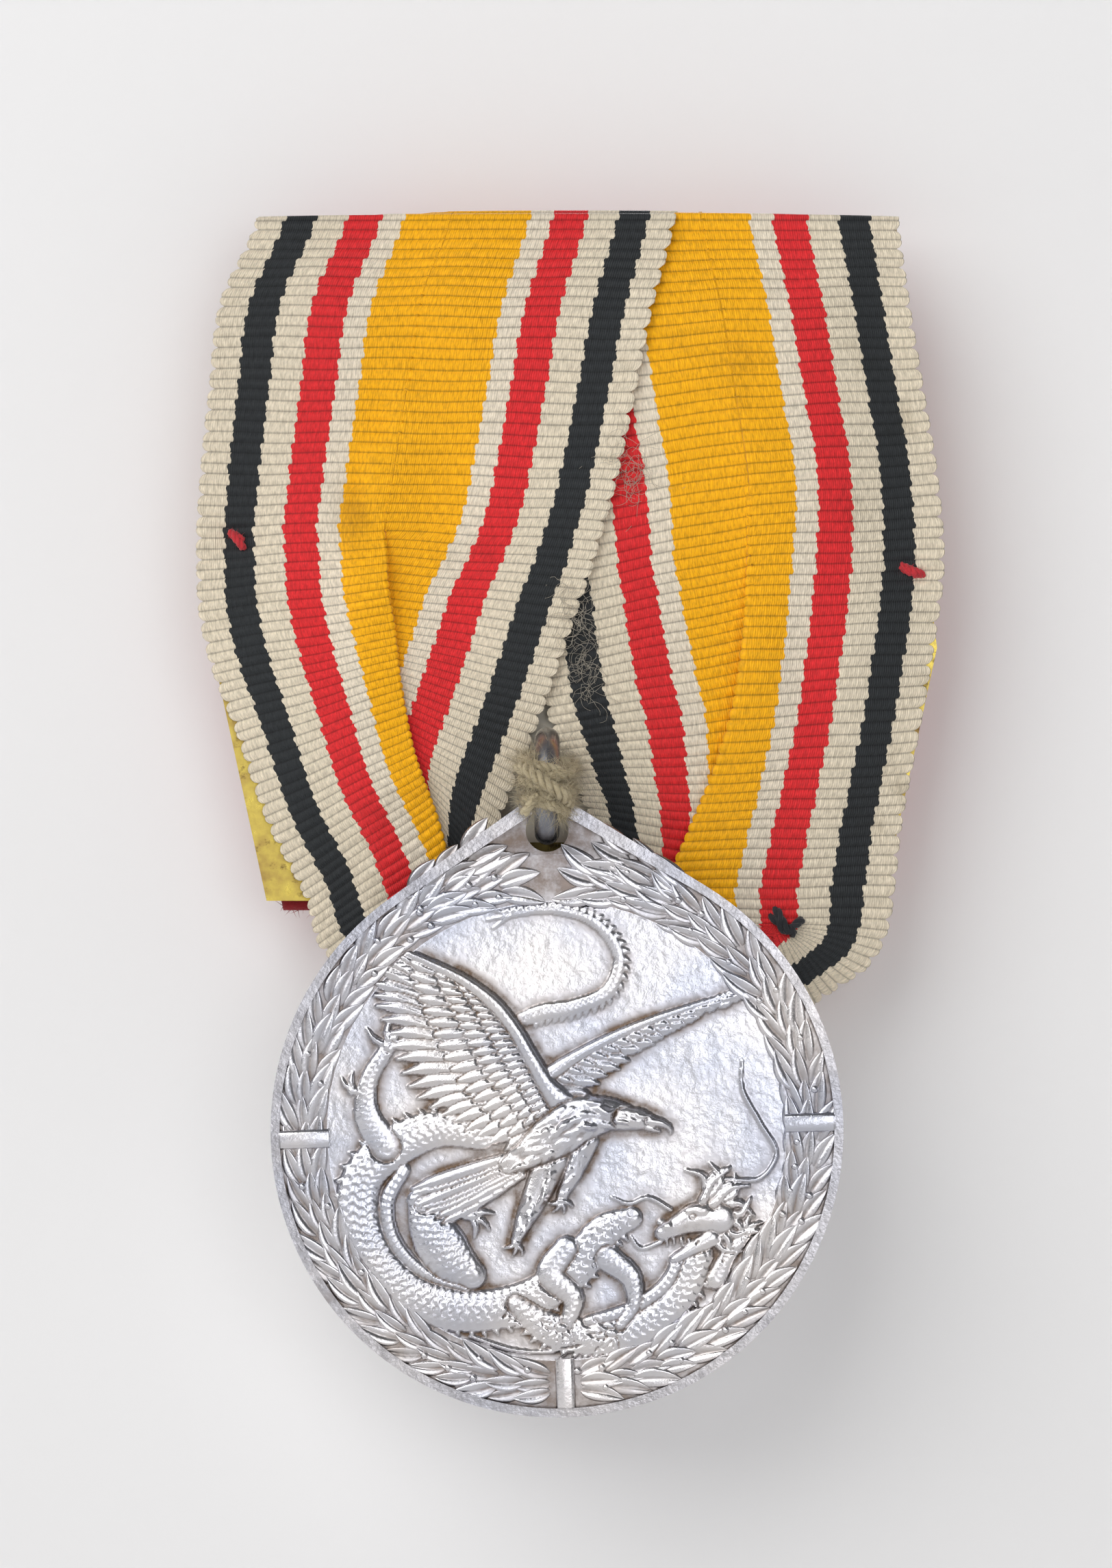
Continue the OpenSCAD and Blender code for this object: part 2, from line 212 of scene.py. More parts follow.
def bake_modifiers(piece):
    """Turn a piece with live modifiers into a plain mesh, and remove the modifiers."""
    evaluated = piece.evaluated_get(bpy.context.evaluated_depsgraph_get())
    plain = bpy.data.meshes.new_from_object(evaluated)
    piece.modifiers.clear()
    old, piece.data = piece.data, plain
    plain.name = piece.name
    if old.users == 0 and isinstance(old, bpy.types.Mesh):
        bpy.data.meshes.remove(old)
    print(piece.name, len(plain.vertices), "points", len(plain.polygons), "faces")
    return piece


def run_tree(piece, tree, values):
    """Put a geometry node tree on a piece, set its named inputs by identifier, and bake it."""
    modifier = piece.modifiers.new(tree.name, "NODES")
    modifier.node_group = tree
    for item in tree.interface.items_tree:
        if item.item_type == "SOCKET" and item.in_out == "INPUT" and item.name in values:
            modifier[item.identifier] = values[item.name]
    return bake_modifiers(piece)


def new_tree(name, inputs):
    """A geometry node tree with one geometry input and the named inputs (name, socket type)."""
    tree = bpy.data.node_groups.new(name, "GeometryNodeTree")
    tree.interface.new_socket("Geometry", in_out="INPUT", socket_type="NodeSocketGeometry")
    tree.interface.new_socket("Geometry", in_out="OUTPUT", socket_type="NodeSocketGeometry")
    for label, kind in inputs:
        tree.interface.new_socket(label, in_out="INPUT", socket_type="NodeSocket" + kind)
    start = tree.nodes.new("NodeGroupInput")
    end = tree.nodes.new("NodeGroupOutput")
    return tree, start.outputs, end.inputs


# %% [markdown]
# ## Camera
# The medal is seen square on, as a museum photographs it from above a copy stand. A long lens a
# long way off keeps the rim and the ribbon free of perspective, so a 200 mm lens stands half a
# metre away, and the picture is just as tall as the medal with a wide margin round it.

# %% Set the camera
VIEW_HEIGHT = 88.05
VIEW_MIDDLE = (-1.04, -20.9)
LENS, SENSOR = 200.0, 36.0
camera_data = bpy.data.cameras.new("copy_stand_camera")
camera_data.lens = LENS
camera_data.sensor_width = SENSOR
camera = bpy.data.objects.new("copy_stand_camera", camera_data)
bpy.context.collection.objects.link(camera)
camera_distance = VIEW_HEIGHT * LENS / SENSOR
camera.location = (VIEW_MIDDLE[0] * MM, (RIBBON_FRONT - camera_distance) * MM, VIEW_MIDDLE[1] * MM)
camera.rotation_euler = (math.radians(90), 0, 0)
camera_data.clip_end = 10
camera_data.clip_start = 0.01
bpy.context.scene.camera = camera
print("camera stands", round(camera_distance), "mm in front of the ribbon")

# %% [markdown]
# ## Floor, backdrop and light
# White card stands behind the medal and lies under it. The card behind is only there to catch the
# soft shadow: it is clear from behind, and only the camera sees it, so it puts no shadow on the
# back of the mount. The light is a pale room with large soft panels, like those beside a copy
# stand. Struck metal looks like what it mirrors, so the room has dark and bright parts: a dim ring
# around the view draws the flanks of the relief, and a bright side behind the camera lights the
# flat field.

# %% Make the floor and the backdrop
card, card_tree, card_shader = new_material("white_cotton_card")
card_mottle = noise(card_tree, object_spot(card_tree), 60.0, 4.0, 0.5)
feed(card_tree, card_shader, {"Base Color": linear("#f4f3f2"), "Roughness": 0.9,
                              "Specular IOR Level": 0.0})
feed(card_tree, card_shader, {"Normal": bump(card_tree, card_mottle, 0.1, 0.0005)})
backdrop_card = card.copy()
backdrop_card.name = "white_card_clear_from_behind"
tree = backdrop_card.node_tree
clear = add_node(tree, "ShaderNodeBsdfTransparent")
side = add_node(tree, "ShaderNodeNewGeometry")
mix = add_node(tree, "ShaderNodeMixShader", inputs={0: side.outputs["Backfacing"],
               1: tree.nodes["Principled BSDF"].outputs[0], 2: clear.outputs[0]})
tree.links.new(mix.outputs[0], tree.nodes["Material Output"].inputs["Surface"])

WALL_Y = corners_mm("pin_catch")[1][1] + 1.5
FLOOR_Z = medal_low[2] - 45
REACH = 900
floor = mesh_from("floor_card", [(-REACH, -REACH, FLOOR_Z), (REACH, -REACH, FLOOR_Z),
                                 (REACH, REACH, FLOOR_Z),
                                 (-REACH, REACH, FLOOR_Z)], [(0, 1, 2, 3)], card, smooth=False)
backdrop = mesh_from("backdrop_card", [(-REACH, WALL_Y, FLOOR_Z), (REACH, WALL_Y, FLOOR_Z),
                                       (REACH, WALL_Y, REACH), (-REACH, WALL_Y, REACH)],
                                       [(0, 1, 2, 3)],
                     backdrop_card, smooth=False)
backdrop.visible_diffuse = backdrop.visible_glossy = False
backdrop.visible_transmission = backdrop.visible_shadow = False

# %% Set the lights
world = bpy.data.worlds.new("pale_room")
bpy.context.scene.world = world
world.use_nodes = True
bpy.context.scene.view_settings.view_transform = "Standard"
sky = world.node_tree
room = sky.nodes["Background"]
way = add_node(sky, "ShaderNodeSeparateXYZ", inputs={0: add_node(sky,
    "ShaderNodeTexCoord").outputs["Generated"]}).outputs
# Behind the camera the room has a bright side and a dim side, which the flat metal mirrors
sideways = calc(sky, "MULTIPLY_ADD", way["Z"], -0.35, way["X"])
bright_side = ranged(sky, sideways, -0.1, 0.07, 0.45, 2.9, "SMOOTHSTEP")
facing = ranged(sky, way["Y"], -0.8, -0.95, 0.0, 1.0, "SMOOTHSTEP")
ROOM_LIGHT = 0.6
height_tone = ranged(sky, way["Z"], -0.9, 0.9, 1.5, 0.5)
dark_ring = ranged(sky, way["Y"], 0.1, -0.45, 1.0, 0.3, "SMOOTHSTEP")
ringed = calc(sky, "MULTIPLY", height_tone, dark_ring)
walls = calc(sky, "MULTIPLY", ringed, ROOM_LIGHT)
sky_strength = add_node(sky, "ShaderNodeMix", {"data_type": "FLOAT"},
                        {0: facing, 2: walls, 3: bright_side}).outputs[0]
feed(sky, room, {"Color": linear("#f1f2f6"), "Strength": sky_strength})


def soft_panel(name, place, aim, size, power, colour="#ffffff"):
    """A rectangular area light at place that faces aim, both in millimetres."""
    light = bpy.data.lights.new(name, "AREA")
    light.shape = "RECTANGLE"
    light.size, light.size_y = size[0] * MM, size[1] * MM
    light.energy = power
    light.color = linear(colour)[:3]
    made = bpy.data.objects.new(name, light)
    bpy.context.collection.objects.link(made)
    made.location = Vector(place) * MM
    made.rotation_euler = (Vector(aim) * MM - made.location).to_track_quat("-Z", "Y").to_euler()
    return made


AIM = (0, RIBBON_FRONT, -22)
soft_panel("panel_low_right", (220, -440, -400), AIM, (620, 460), 10.4)
soft_panel("panel_upper_left", (-330, -520, 330), AIM, (640, 560), 3.0)
soft_panel("panel_behind", (250, 620, 380), (0, 0, -20), (400, 300), 3.0)

# %% [markdown]
# ## The ribbon: one strip of corded silk
# The whole ribbon is a single strip, 25 mm wide. It starts behind the plate, comes over the top
# edge, runs down the left, turns flat behind the medal, runs up the right and goes back over the
# top. Each panel has one pleat, a Z fold that takes up width towards the bottom.
# Simulated cloth would never find these hand-sewn pleats, so the strip is lofted. A station says
# where a cross-row of the cloth lies: its outer selvedge, a point a quarter of the way in, the edge
# of the pleat and the inner selvedge, seen from the front. Smooth curves join the stations.

# %% Lay out the ribbon's stations
RIBBON_W = 25.0
QUARTER = 6.2


def panel_row(at, outer, inner, fold_at=11.5, hidden=0.0, bend=(0.0, 0.0)):
    """A station that is straight from selvedge to selvedge, apart from the pleat's bend."""
    outer, inner = np.array(outer, float), np.array(inner, float)
    fold = outer + (inner - outer) * fold_at / (RIBBON_W - hidden) + bend
    quarter = outer + (fold - outer) * QUARTER / fold_at
    return [at, *outer, *quarter, *fold, *inner, fold_at, hidden]


def turn_row(at, outer, quarter, fold, inner, fold_at=12.0, hidden=7.0):
    return [at, *outer, *quarter, *fold, *inner, fold_at, hidden]


TAIL = 8.0
TOP_Z = plate_high[2] - 0.05
LEFT_END = TAIL + 43.5
TURN_END = LEFT_END + 35.7
RIGHT_END = TURN_END + 40.5
STRIP_L = RIGHT_END + TAIL

left_panel = [
    panel_row(0, (-17.6, TOP_Z + TAIL), (6.3, TOP_Z + TAIL)),
    panel_row(TAIL, (-18.0, TOP_Z), (5.6, TOP_Z)),
    panel_row(TAIL + 5, (-20.0, 6.3), (4.4, 6.1)),
    panel_row(TAIL + 10, (-20.6, 1.4), (3.4, 1.1)),
    panel_row(TAIL + 15, (-21.1, -3.6), (2.3, -4.0), bend=(0, 0.2)),
    panel_row(TAIL + 18, (-21.3, -6.6), (1.5, -6.8), 11.5, 0.4, (-0.1, 0.4)),
    panel_row(TAIL + 20, (-21.3, -8.6), (1.0, -8.6), 11.5, 1.3, (-0.1, 0.7)),
    panel_row(TAIL + 22.5, (-21.2, -11.0), (0.2, -10.9), 11.4, 2.6, (-0.2, 1.1)),
    panel_row(TAIL + 25, (-20.7, -13.5), (-0.6, -13.3), 11.3, 3.6, (-0.1, 1.6)),
    panel_row(TAIL + 30, (-19.0, -18.2), (-2.2, -17.8), 11.0, 5.4, (-0.2, 2.7)),
    panel_row(TAIL + 35, (-17.3, -23.1), (-4.0, -22.3), 10.8, 7.4, (0.1, 3.6)),
    panel_row(TAIL + 40, (-15.1, -27.4), (-5.3, -26.0), 10.4, 9.2, (0.8, 4.0)),
    panel_row(LEFT_END, (-14.2, -30.2), (-5.6, -27.8), 10.0, 11.0, (1.0, 3.2)),
]
turn = [
    turn_row(LEFT_END + 2.8, (-12.0, -32.0), (-9.3, -28.6), (-6.9, -26.0), (-5.2, -28.4), 10.4,
    10.0),
    turn_row(LEFT_END + 6.3, (-9.0, -33.8), (-7.4, -29.8), (-6.0, -27.2), (-4.3, -28.7), 10.8, 9.0),
    turn_row(LEFT_END + 10.6, (-5.0, -35.2), (-4.4, -30.6), (-4.0, -28.6), (-3.0, -28.8), 11.4,
    8.0),
    turn_row(LEFT_END + 15.6, (0.0, -35.8), (0.0, -31.0), (-0.8, -29.4), (-1.4, -28.6)),
    turn_row(LEFT_END + 21.6, (6.0, -35.5), (5.8, -30.6), (2.4, -29.4), (0.2, -28.0)),
    turn_row(LEFT_END + 25.7, (10.0, -34.8), (9.4, -30.2), (3.8, -29.2), (1.0, -27.5), 12.2, 6.6),
    turn_row(LEFT_END + 29.6, (13.6, -33.2), (11.6, -29.3), (4.4, -29.0), (1.5, -27.0), 12.4, 6.2),
    turn_row(LEFT_END + 31.6, (15.2, -32.1), (11.7, -29.15), (4.6, -28.9), (1.7, -26.8), 12.5, 5.9),
    turn_row(LEFT_END + 32.9, (16.3, -31.4), (11.75, -29.05), (4.7, -28.85), (1.8, -26.7), 12.6,
    5.7),
    turn_row(LEFT_END + 34.2, (17.15, -30.35), (11.8, -28.95), (4.8, -28.8), (1.9, -26.5), 12.6,
    5.5),
]
right_panel = [
    turn_row(TURN_END, (17.7, -29.0), (11.8, -28.7), (5.0, -28.6), (2.0, -26.4), 12.6, 5.4),
    panel_row(TURN_END + 2.5, (18.1, -26.4), (1.6, -25.2), 12.6, 5.4, (-2.3, -1.0)),
    panel_row(TURN_END + 5.5, (18.4, -23.6), (0.9, -22.9), 12.3, 4.9, (-1.4, -0.7)),
    panel_row(TURN_END + 10.5, (19.3, -18.7), (-0.4, -19.9), 11.6, 3.8, (-0.4, 0.0)),
    panel_row(TURN_END + 13, (19.8, -16.0), (-1.1, -18.1), 11.3, 3.3, (0.0, 0.4)),
    panel_row(TURN_END + 15.5, (20.2, -13.5), (-1.7, -16.0), 11.2, 2.4, (0.0, 0.8)),
    panel_row(TURN_END + 20.5, (20.85, -8.6), (-2.1, -11.6), 11.3, 0.8, (-0.4, 1.0)),
    panel_row(TURN_END + 25.5, (20.5, -3.6), (-2.8, -6.4), bend=(0.2, 0.7)),
    panel_row(TURN_END + 30.5, (19.7, 1.4), (-3.7, -0.8), bend=(0.3, 0.5)),
    panel_row(TURN_END + 35.5, (18.9, 6.3), (-4.6, 5.2), bend=(0.3, 0.2)),
    panel_row(RIGHT_END, (18.3, TOP_Z), (-5.5, TOP_Z)),
    panel_row(STRIP_L, (18.0, TOP_Z + TAIL), (-6.0, TOP_Z + TAIL)),
]
stations = left_panel + turn + right_panel
print("ribbon", RIBBON_W, "x", round(STRIP_L, 1), "mm when flat,", len(stations), "stations")

# %% [markdown]
# ### Rows and columns
# Corded ribbon has a thick thread in every rib, so each rib gets four rows of points, crowded at the
# grooves where the surface turns fastest. Across the width the columns are shared out between the
# outer panel, the round edge of the pleat, its hidden underside, its inner edge and the rest, and
# they are closest at the selvedges, which have the finest shape.
# Where there is no pleat yet the same columns lie flat, and they fold over as the pleat opens.

# %% Loft the ribbon's smooth sheet
RIB = 0.6
RIB_STEPS = np.array([0.0, 0.2, 0.5, 0.8])
rng = np.random.default_rng(11)
rib_count = int(STRIP_L / RIB)
rib_starts = np.linspace(0, STRIP_L, rib_count + 1)
rib_starts[1:-1] += rng.uniform(-0.025, 0.025, rib_count - 1)
rib_widths = np.diff(rib_starts)
along = (rib_starts[:-1, None] + rib_widths[:, None] * RIB_STEPS).ravel()
phase = (np.arange(rib_count)[:, None] + RIB_STEPS).ravel()
rows = through_stations(stations, along)
outer, quarter, fold, inner = (rows[:, i : i + 2] for i in (0, 2, 4, 6))
fold_at, hidden = rows[:, 8], np.clip(rows[:, 9], 0, None)
to_inner = inner - fold
away = -to_inner / np.linalg.norm(to_inner, axis=1)[:, None]
is_left = along < LEFT_END + 12

FOLD_R = 0.13
under_l = np.maximum(hidden, 0.5) / 2
fold_radius = np.minimum(FOLD_R, under_l / 2.5)
folded = smoothstep(0.0, 0.9, hidden)[:, None]
pleat = smoothstep(0.0, 3.0, hidden)[:, None]
SELVEDGE = np.array([0.0, 0.1, 0.3, 0.6]) / 11
outer_share = np.concatenate([SELVEDGE, np.linspace(0.1, 1, 12)])
inner_share = 1 - outer_share[::-1]
edge_share = (np.arange(4) + 0.5) / 4
under_share = np.linspace(0, 1, 4)


def spread(start, end, share):
    """For every row, values from start to end at the given shares of the way."""
    return start[:, None] + (end - start)[:, None] * share[None, :]


def between(p, q, f):
    return p[:, None, :] + (q - p)[:, None, :] * f[..., None]


def along_away(reach):
    return fold[:, None, :] + away[:, None, :] * reach[..., None]


def round_edge(centre_reach, high, low, side):
    """A half circle between two layers of the pleat: its reach into the pleat, and its lift."""
    angles = np.pi * edge_share[None, :]
    reach = centre_reach[:, None] - side * fold_radius[:, None] * np.sin(angles)
    return reach, (high + low) / 2 + (high - low) / 2 * np.cos(angles)


zero = np.zeros(len(along))
bottom_at = fold_at + under_l
across = np.concatenate([
    spread(zero, fold_at - 1.6 * fold_radius, outer_share),
    spread(fold_at - 1.6 * fold_radius, fold_at + 1.6 * fold_radius, edge_share),
    spread(fold_at + 1.6 * fold_radius, bottom_at - 1.6 * fold_radius, under_share),
    spread(bottom_at - 1.6 * fold_radius, bottom_at + 1.6 * fold_radius, edge_share),
    spread(bottom_at + 1.6 * fold_radius, zero + RIBBON_W, inner_share)], axis=1)
ends = np.cumsum([len(outer_share), len(edge_share), len(under_share), len(edge_share),
                  len(inner_share)])

# The flat lie of every point, then its folded lie, and a blend of both
in_first = np.clip(across / QUARTER, 0, 1)
in_second = np.clip((across - QUARTER) / (fold_at - QUARTER)[:, None], 0, 1)
in_third = np.clip((across - fold_at[:, None]) / (RIBBON_W - fold_at)[:, None], 0, 1)
flat = np.where((across < QUARTER)[..., None], between(outer, quarter, in_first),
                between(quarter, fold, in_second))
flat = np.where((across > fold_at[:, None])[..., None], between(fold, inner, in_third), flat)

# Lifts of the pleat: its top layer, the top and the bottom of its underside
TOP_LIFT, UNDER_HIGH, UNDER_LOW = 0.66, 0.42, 0.28
edge_reach, edge_lift = round_edge(fold_radius, TOP_LIFT * pleat, UNDER_HIGH * pleat, 1)
back_reach, back_lift = round_edge(under_l - fold_radius, UNDER_LOW * pleat, 0 * pleat, -1)
under_reach = spread(fold_radius, under_l - fold_radius, under_share)
lie = flat.copy()
lie[:, ends[0] : ends[1]] = along_away(edge_reach)
lie[:, ends[1] : ends[2]] = along_away(under_reach)
lie[:, ends[2] : ends[3]] = along_away(back_reach)
lie[:, ends[3] :] = between(fold + away * (under_l - fold_radius)[:, None], inner,
                            inner_share[None, :] + 0 * zero[:, None])
spots = flat + (lie - flat) * folded[..., None]
lift = np.concatenate([
    TOP_LIFT * pleat * smoothstep(-3.0, 0.4, across[:, : ends[0]] - (fold_at - under_l)[:, None]),
    edge_lift,
    pleat * (UNDER_HIGH + (UNDER_LOW - UNDER_HIGH) * under_share[None, :]), back_lift,
    np.zeros((len(along), len(inner_share)))], axis=1)
columns = spots.shape[1]
print("ribs", rib_count, "rows", len(along), "columns", columns)

# %% [markdown]
# ### Depth of the ribbon
# Seen from the side the ribbon is drawn over the wadding: it stands proud in the middle and comes
# down to the plate at its selvedges. The left panel lies over the right one, and a slack ridge runs
# into the head of each pleat. At the top the strip rolls round the plate's edge to its back.

# %% Give the sheet its depth
PLATE_HALF, PLATE_WIDEST_Z = 20.5, -13.2


def plate_half_width(z):
    """Half the plate's width at a height: it narrows above and below its widest place."""
    above = z - PLATE_WIDEST_Z
    return np.where(z > PLATE_WIDEST_Z, PLATE_HALF - above * 2.9 / 24,
                    PLATE_HALF + above * 3.1 / 14.3)


x, z = spots[..., 0], spots[..., 1]
inside = np.minimum(plate_half_width(z) - np.abs(x), TOP_Z - z)
pad = smoothstep(-0.3, 6.0, inside) * (1 - 0.35 * smoothstep(-22, -29, z))
PAD_RISE = wadding_high[1] - wadding_low[1] + 0.15
depth = PLATE_FRONT - 0.3 - PAD_RISE * pad
cover_x = -1.5 - 4.0 * smoothstep(-17, 11, z)
over_right = smoothstep(cover_x - 5.0, cover_x - 0.8, x) * smoothstep(-21, -15, z)
depth -= np.where(is_left[:, None], 0.52 * over_right, 0)
depth -= lift
ridge_left = smoothstep(8, 13, along - TAIL) * (1 - smoothstep(21, 26, along - TAIL))
ridge_foot = 10.7 - 1.9 * smoothstep(9, 20, along - TAIL)
bulge = smoothstep(0, 0.6, across - ridge_foot[:, None]) * (1
    - smoothstep(1.4, 6.0, across - ridge_foot[:, None]))
up_right = RIGHT_END - along
ridge_right = smoothstep(9, 14, up_right) * (1 - smoothstep(22, 30, up_right)) * (along > LEFT_END
    + 20)
bulge_right = smoothstep(12.4, 11.4, across) * smoothstep(6.5, 10.8, across)
depth -= 0.72 * ridge_left[:, None] * bulge + 0.38 * ridge_right[:, None] * bulge_right
for stitch_x, stitch_z in ((-19.0, -7.1), (19.0, -8.9)):
    depth += 0.3 * np.exp(-((x - stitch_x) ** 2 + (z - stitch_z) ** 2) / 1.3)
waves = sum(a * np.sin(kx * x + kz * z + p) for a, kx, kz, p in (
    (0.05, 0.45, 0.22, 0.4), (0.035, 0.9, -0.5, 2.1), (0.03, 0.2, 1.1, 4.0), (0.02, 1.7, 0.6, 1.0)))
depth += waves * smoothstep(TOP_Z, TOP_Z - 3, z)
z = z + 0.05 * np.sin(0.8 * across + 0.35 * along[:, None]) * smoothstep(0, 3, TOP_Z - z)

tail_y = np.where(is_left[:, None], PLATE_BACK + 0.33, PLATE_BACK + 0.12)
roll_r = (tail_y - depth) / 2
roll_z = ribbon_high[2] + 0.1 - 0.3 * (x / 18) ** 2 - roll_r
rolled = z > roll_z
arc_l = z - roll_z
angle = np.clip(arc_l / roll_r, 0, np.pi)
y = np.where(rolled, (tail_y + depth) / 2 - roll_r * np.cos(angle), depth)
z = np.where(rolled, roll_z + roll_r * np.sin(angle) - np.clip(arc_l - np.pi * roll_r, 0, None), z)
sheet_points = np.stack([x, y, z], -1)

# %% [markdown]
# ### Ribs, by geometry nodes
# The ribs follow a rule, so a node tree raises them: every point knows how far along the ribbon it
# is, counted in ribs, and is pushed out along the surface by a rounded wave. Where the cloth is
# gathered the ribs are closer, so they are lower too. At the selvedges the thick thread turns
# back in a loop, one for every two ribs, which gives the ribbon its scalloped edge: a second wave
# at half the pace pushes the edge outwards.

# %% Build the rib tree and the ribbon
tree, given, wanted = new_tree("corded_ribs", [("Rib height", "Float"), ("Scallop", "Float"),
    ("Roundness", "Float")])


def named(name, kind="FLOAT"):
    """The values of an attribute that the mesh carries."""
    reader = add_node(tree, "GeometryNodeInputNamedAttribute", {"data_type": kind}, {"Name": name})
    return reader.outputs["Attribute"]


def humps(pace, roundness):
    """Round humps, pace of them for every rib."""
    turned = calc(tree, "MULTIPLY", named("rib_phase"), math.pi * pace)
    return calc(tree, "POWER", calc(tree, "ABSOLUTE", calc(tree, "SINE", turned)), roundness)


wave = humps(1.0, given["Roundness"])
height = calc(tree, "MULTIPLY", calc(tree, "MULTIPLY", wave, given["Rib height"]),
              named("rib_share"))
normal = add_node(tree, "GeometryNodeInputNormal").outputs[0]
raised = vector_calc(tree, "SCALE", normal, scale=height)[0]
loops = calc(tree, "ADD", humps(0.5, 0.6), calc(tree, "MULTIPLY", wave, 0.25))
lobe = calc(tree, "MULTIPLY", calc(tree, "SUBTRACT", loops, 0.9), given["Scallop"])
pushed = vector_calc(tree, "SCALE", named("edge_out", "FLOAT_VECTOR"), scale=lobe)[0]
moved = vector_calc(tree, "ADD", raised, pushed)[0]
shift = add_node(tree, "GeometryNodeSetPosition", inputs={"Geometry": given["Geometry"],
    "Offset": moved})
tree.links.new(shift.outputs[0], wanted["Geometry"])

ribbon_cloth, cloth_tree, cloth_shader = new_material("corded_silk_ribbon_striped")
quads = [[a, d, c, b] for a, b, c, d in grid_faces(len(along), columns)]
ribbon = mesh_from("ribbon_strip", sheet_points.reshape(-1, 3), quads, ribbon_cloth)
steps = len(RIB_STEPS)
neighbour = np.minimum(np.arange(len(along)) + steps, len(along) - 1)
rib_gap = np.linalg.norm(sheet_points[neighbour] - sheet_points, axis=-1)
rib_gap[-steps:] = rib_gap[-steps - 1]
rib_share = np.clip(rib_gap / RIB, 0.08, 1.1) * (1 + 0.1 * np.sin(phase // 1 * 2.4))[:, None]
behind = (sheet_points[..., 1] > PLATE_FRONT + 0.1)
rib_share = np.where(behind, 0.35, rib_share)
edge_out = np.zeros_like(sheet_points)
for column, neighbour_column, distance in ((0, 1, across),
        (columns - 1, columns - 2, RIBBON_W - across)):
    direction = sheet_points[:, column] - sheet_points[:, neighbour_column]
    direction /= np.linalg.norm(direction, axis=1)[:, None]
    edge_out += direction[:, None, :] * np.exp(-distance / 0.3)[..., None]
set_attribute(ribbon.data, "rib_phase", np.repeat(phase, columns))
set_attribute(ribbon.data, "rib_share", rib_share)
set_attribute(ribbon.data, "edge_out", edge_out, "FLOAT_VECTOR")
weave_map = ribbon.data.uv_layers.new(name="weave_map")
corner_points = np.zeros(len(ribbon.data.loops), int)
ribbon.data.loops.foreach_get("vertex_index", corner_points)
flat_across, flat_ribs = across.ravel(), np.repeat(phase, columns)
weave_map.data.foreach_set("uv", np.stack([flat_across[corner_points] / 100,
                           flat_ribs[corner_points] / 100], -1)
                           .astype(np.float32).ravel())
run_tree(ribbon, tree, {"Rib height": 0.155 * MM, "Scallop": 0.3 * MM, "Roundness": 0.6})
thick = ribbon.modifiers.new("thickness", "SOLIDIFY")
thick.thickness = 0.17 * MM
thick.offset = -1
bake_modifiers(ribbon)

# %% [markdown]
# ### Ribbon material
# Cord ribbon is warp-faced silk or cotton: fine lengthwise threads carry the stripes and wrap each
# thick cross thread. Odd threads go over odd ribs and even threads over even ones, so a stripe's
# edge steps to and fro from rib to rib. The stripes are read from the UV map, which holds
# millimetres across and ribs along, over 100. Silk gives a soft sheen on top of each rib, and the
# colour is darkened towards the grooves between ribs as painted shade. Old dirt lies in patches, and
# a darker brownish patch where the left pleat starts is painted shade of the crease there.

# %% Paint the ribbon
STRIPES = [("#e3d6be", 1.6), ("#26292b", 1.9), ("#e3d6be", 1.85), ("#df282c", 2.0),
           ("#e8dbc5", 1.4), ("#fbb400", 7.5),
           ("#e8dbc5", 1.4), ("#df282c", 2.0), ("#e3d6be", 1.85), ("#26292b", 1.9),
           ("#e3d6be", 1.6)]


def ramp_from(tree, fac, stops, interpolation="LINEAR"):
    """A colour ramp node with (position, hex colour) stops. Returns its colour output."""
    ramp = add_node(tree, "ShaderNodeValToRGB", inputs={"Fac": fac})
    ramp.color_ramp.interpolation = interpolation
    elements = ramp.color_ramp.elements
    while len(elements) < len(stops):
        elements.new(0.5)
    for element, (position, colour) in zip(elements, stops):
        element.position = position
        element.color = linear(colour)
    return ramp.outputs["Color"]


uv = add_node(cloth_tree, "ShaderNodeUVMap", {"uv_map": "weave_map"}).outputs[0]
split = add_node(cloth_tree, "ShaderNodeSeparateXYZ", inputs={0: uv})
across_mm = calc(cloth_tree, "MULTIPLY", split.outputs["X"], 100)
ribs_in = calc(cloth_tree, "MULTIPLY", split.outputs["Y"], 100)
rib_number = calc(cloth_tree, "FLOOR", ribs_in)
per_rib = add_node(cloth_tree, "ShaderNodeTexWhiteNoise", {"noise_dimensions": "1D"},
                   {"W": rib_number}).outputs["Value"]
odd_rib = calc(cloth_tree, "MODULO", rib_number, 2.0)
wander = calc(cloth_tree, "ADD", calc(cloth_tree, "MULTIPLY_ADD", per_rib, 0.08, -0.04),
              calc(cloth_tree, "MULTIPLY_ADD", odd_rib, 0.1, -0.05))
lean_in_rib = calc(cloth_tree, "MULTIPLY", calc(cloth_tree, "SINE",
    calc(cloth_tree, "MULTIPLY", ribs_in, 2 * math.pi)), 0.05)
stripe_at = calc(cloth_tree, "DIVIDE", calc(cloth_tree, "ADD", across_mm,
    calc(cloth_tree, "ADD", wander, lean_in_rib)), RIBBON_W)
edges = np.concatenate([[0], np.cumsum([w for _, w in STRIPES])[:-1]]) / RIBBON_W
stripe_colour = ramp_from(cloth_tree, stripe_at, [(p, c) for p, (c, _) in zip(edges, STRIPES)],
                          "CONSTANT")

